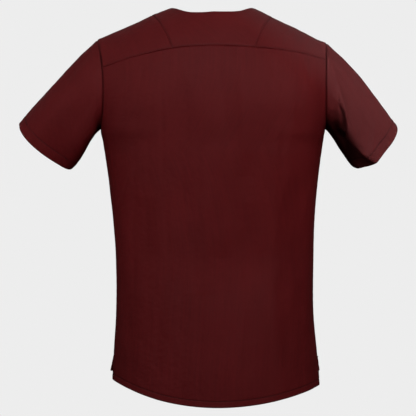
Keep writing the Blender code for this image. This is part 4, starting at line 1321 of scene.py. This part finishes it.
def cloth_material():
    """The twill, made once and shared by all pieces."""
    found = bpy.data.materials.get("wine_twill")
    colours = bpy.context.scene.scrub_colours
    return found or twill("wine_twill", tuple(colours.cloth), tuple(colours.inside))


def thread_material():
    """The thread, made once and shared by all rows of stitches."""
    found = bpy.data.materials.get("wine_thread")
    return found or sewing_thread("wine_thread", tuple(bpy.context.scene.scrub_colours.thread))


def hang(node, make, *side):
    """Makes a piece and ties it to the frame: it rides the root and replaces its node."""
    piece = make(*side, bpy.context.scene.scrub_sizes, cloth_material())
    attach(piece, "root")
    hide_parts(node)


def hang_pair(node, make):
    """Makes and hangs the left and the right piece of a pair."""
    for side in (-1, 1):
        hang(sided(node, side), make, side)


class SCRUB_OT_back(bpy.types.Operator):
    """Cut and hang the back"""

    bl_idname = "scrub.back"
    bl_label = "Back"

    def execute(self, context):
        hang("back_panel", back_panel)
        return {"FINISHED"}


class SCRUB_OT_front(bpy.types.Operator):
    """Cut and hang the front"""

    bl_idname = "scrub.front"
    bl_label = "Front"

    def execute(self, context):
        hang("front_panel", front_panel)
        return {"FINISHED"}


class SCRUB_OT_yokes(bpy.types.Operator):
    """Cut and hang the yoke's three pieces"""

    bl_idname = "scrub.yokes"
    bl_label = "Yoke"

    def execute(self, context):
        hang("yoke_centre", yoke_centre)
        hang_pair("shoulder_yoke", shoulder_yoke)
        return {"FINISHED"}


class SCRUB_OT_bands(bpy.types.Operator):
    """Cut and hang the two halves of the V band"""

    bl_idname = "scrub.bands"
    bl_label = "Neck band"

    def execute(self, context):
        hang_pair("neck_band", neck_band)
        return {"FINISHED"}


class SCRUB_OT_sleeves(bpy.types.Operator):
    """Cut and set in the two sleeves"""

    bl_idname = "scrub.sleeves"
    bl_label = "Sleeves"

    def execute(self, context):
        hang_pair("sleeve", sleeve_piece)
        return {"FINISHED"}


class SCRUB_OT_stitches(bpy.types.Operator):
    """Run the rows of stitches"""

    bl_idname = "scrub.stitches"
    bl_label = "Stitches"

    def execute(self, context):
        sizes, thread = context.scene.scrub_sizes, thread_material()
        thread_piece("body_stitches", stitch_lines(("back", "front")), sizes, thread)
        thread_piece("yoke_stitches", stitch_lines(("yoke_centre", "yoke", "band")), sizes, thread)
        thread_piece("sleeve_stitches", stitch_lines(("sleeve",)), sizes, thread)
        return {"FINISHED"}


FLOOR_Z = -1.5
FLOOR_REACH = 4.0
FLOOR_RINGS, FLOOR_TURNS = 8, 64
FILL_LEVELS = (0.0, 0.4)  # how far up the sky the fill begins, and where it is full

CAMERA_PLACE, CAMERA_TURN = (-0.01045, -3.0, -0.359), (np.pi / 2, 0, 0)
CAMERA_LENS, CAMERA_SENSOR = 136.6, 36  # millimetres

# Round diffusers. Each is turned to a point on the middle plane. spread: the width of its beam, in degrees.
# gloss: whether the cloth's gloss shows it.
LIGHT_COLUMNS = ("name", "x", "y", "z", "size", "power", "aim_x", "aim_z", "spread", "gloss")
LIGHTS = (
    ("key", 0.4, -4.2, 2.7, 2.0, 181, 0.0, -0.3, 180, 1),
    ("side", -3.0, -3.0, 1.2, 2.0, 50, 0.0, -0.3, 180, 1),
    ("rim", 1.3, -1.6, 1.2, 0.6, 1.3, 0.38, -0.16, 38, 0),
    ("near", 1.1, -1.5, 0.3, 0.4, 0.45, 0.42, -0.17, 24, 0),
    ("low", -0.9, -1.3, -0.9, 0.4, 0.2, -0.3, -0.24, 24, 0),
    ("far_key", -0.8, 4.2, 1.5, 2.0, 135, 0.0, -0.3, 180, 0),
    ("far_side", 1.6, 4.0, 0.9, 2.0, 70, 0.0, -0.3, 180, 0),
)


def floor_sheet(colour):
    """Round studio paper: rings of points at the floor's height, closed at the middle."""
    turns, rings = np.arange(FLOOR_TURNS) / FLOOR_TURNS, np.arange(1, FLOOR_RINGS + 1) / FLOOR_RINGS
    turn, ring = np.meshgrid(2 * np.pi * turns, FLOOR_REACH * rings)
    points = np.stack([ring * np.cos(turn), ring * np.sin(turn), np.full(turn.shape, FLOOR_Z)], axis=-1)
    index = 1 + np.arange(turn.size).reshape(turn.shape)
    index = np.hstack([index, index[:, :1]])
    middle = np.stack([0 * index[0, :-1], index[0, :-1], index[0, 1:]], axis=-1)
    verts = [(0, 0, FLOOR_Z)] + points.reshape(-1, 3).tolist()
    faces = middle.tolist() + quads(index)[:, ::-1].tolist()
    floor = meshed("floor", verts, faces, paper("floor_paper", colour))
    floor.visible_diffuse = floor.visible_glossy = False  # it throws no light back up
    return floor


def soft_light(row, share):
    """A round diffuser from its row of the table, at this share of its power."""
    light = bpy.data.lights.new(row["name"], "AREA")
    light.shape, light.size, light.energy = "DISK", row["size"], row["power"] * share
    light.spread = np.radians(row["spread"])
    lamp = bpy.data.objects.new(row["name"], light)
    bpy.context.scene.collection.objects.link(lamp)
    place = Vector((row["x"], row["y"], row["z"]))
    lamp.location = place
    lamp.rotation_euler = (place - Vector((row["aim_x"], 0, row["aim_z"]))).to_track_quat("Z", "Y").to_euler()
    lamp.visible_camera = False
    lamp.visible_glossy = bool(row["gloss"])
    return lamp


def studio_world(scene, backdrop, fill):
    """A pale backdrop all round that lights the cloth only from above, as flags round a set would let it."""
    world = bpy.data.worlds.new("studio")
    scene.world = world
    world.use_nodes = True
    tree, (start, full) = world.node_tree, FILL_LEVELS
    up = added(tree, "SeparateXYZ", added(tree, "TexCoord").outputs["Generated"]).outputs["Z"]
    sky = added(tree, "MapRange", Value=up, From_Min=start, From_Max=full, To_Max=fill)
    sky.interpolation_type = "SMOOTHSTEP"
    seen = added(tree, "LightPath").outputs["Is Camera Ray"]
    level = added(tree, "MapRange", Value=seen, To_Min=sky.outputs["Result"], To_Max=backdrop)
    background = tree.nodes["Background"]
    background.inputs["Color"].default_value = (1, 1, 1, 1)
    filled(tree, background.inputs["Strength"], level.outputs["Result"])


class SCRUB_OT_stage(bpy.types.Operator):
    """Lay the floor and set the lights and the camera"""

    bl_idname = "scrub.stage"
    bl_label = "Stage"

    def execute(self, context):
        scene, studio = context.scene, context.scene.scrub_studio
        floor_sheet(tuple(studio.floor))
        for values in LIGHTS:
            soft_light(dict(zip(LIGHT_COLUMNS, values)), studio.lights)
        studio_world(scene, studio.backdrop, studio.fill)
        scene.view_settings.view_transform = "Standard"
        lens = bpy.data.cameras.new("camera")
        lens.lens, lens.sensor_width = CAMERA_LENS, CAMERA_SENSOR
        camera = bpy.data.objects.new("camera", lens)
        camera.location, camera.rotation_euler = CAMERA_PLACE, CAMERA_TURN
        scene.collection.objects.link(camera)
        scene.camera = camera
        return {"FINISHED"}


OPERATORS = (
    SCRUB_OT_back,
    SCRUB_OT_front,
    SCRUB_OT_yokes,
    SCRUB_OT_bands,
    SCRUB_OT_sleeves,
    SCRUB_OT_stitches,
    SCRUB_OT_stage,
)


class SCRUB_PT_panel(bpy.types.Panel):
    """Lists the sizes, the colours and the pieces"""

    bl_idname = "SCRUB_PT_panel"
    bl_label = "Scrub top"
    bl_space_type = "VIEW_3D"
    bl_region_type = "UI"
    bl_category = "Scrub top"

    def draw(self, context):
        for group in (context.scene.scrub_sizes, context.scene.scrub_colours, context.scene.scrub_studio):
            box = self.layout.box()
            for name in group.__annotations__:
                box.prop(group, name)
        for operator in OPERATORS:
            self.layout.operator(operator.bl_idname)


GROUPS = {"scrub_sizes": ClothSizes, "scrub_colours": DyeColours, "scrub_studio": StudioSettings}


def register():
    """Registers the classes and gives each scene its settings."""
    for cls in (*GROUPS.values(), *OPERATORS, SCRUB_PT_panel):
        bpy.utils.register_class(cls)
    for name, group in GROUPS.items():
        setattr(bpy.types.Scene, name, PointerProperty(type=group))


def unregister():
    """Takes back what register gave."""
    for name in GROUPS:
        delattr(bpy.types.Scene, name)
    for cls in reversed((*GROUPS.values(), *OPERATORS, SCRUB_PT_panel)):
        bpy.utils.unregister_class(cls)


def main():
    """Makes everything, one operator after the other."""
    register()
    for operator in OPERATORS:
        group, name = operator.bl_idname.split(".")
        getattr(getattr(bpy.ops, group), name)()


if __name__ == "__main__":
    main()
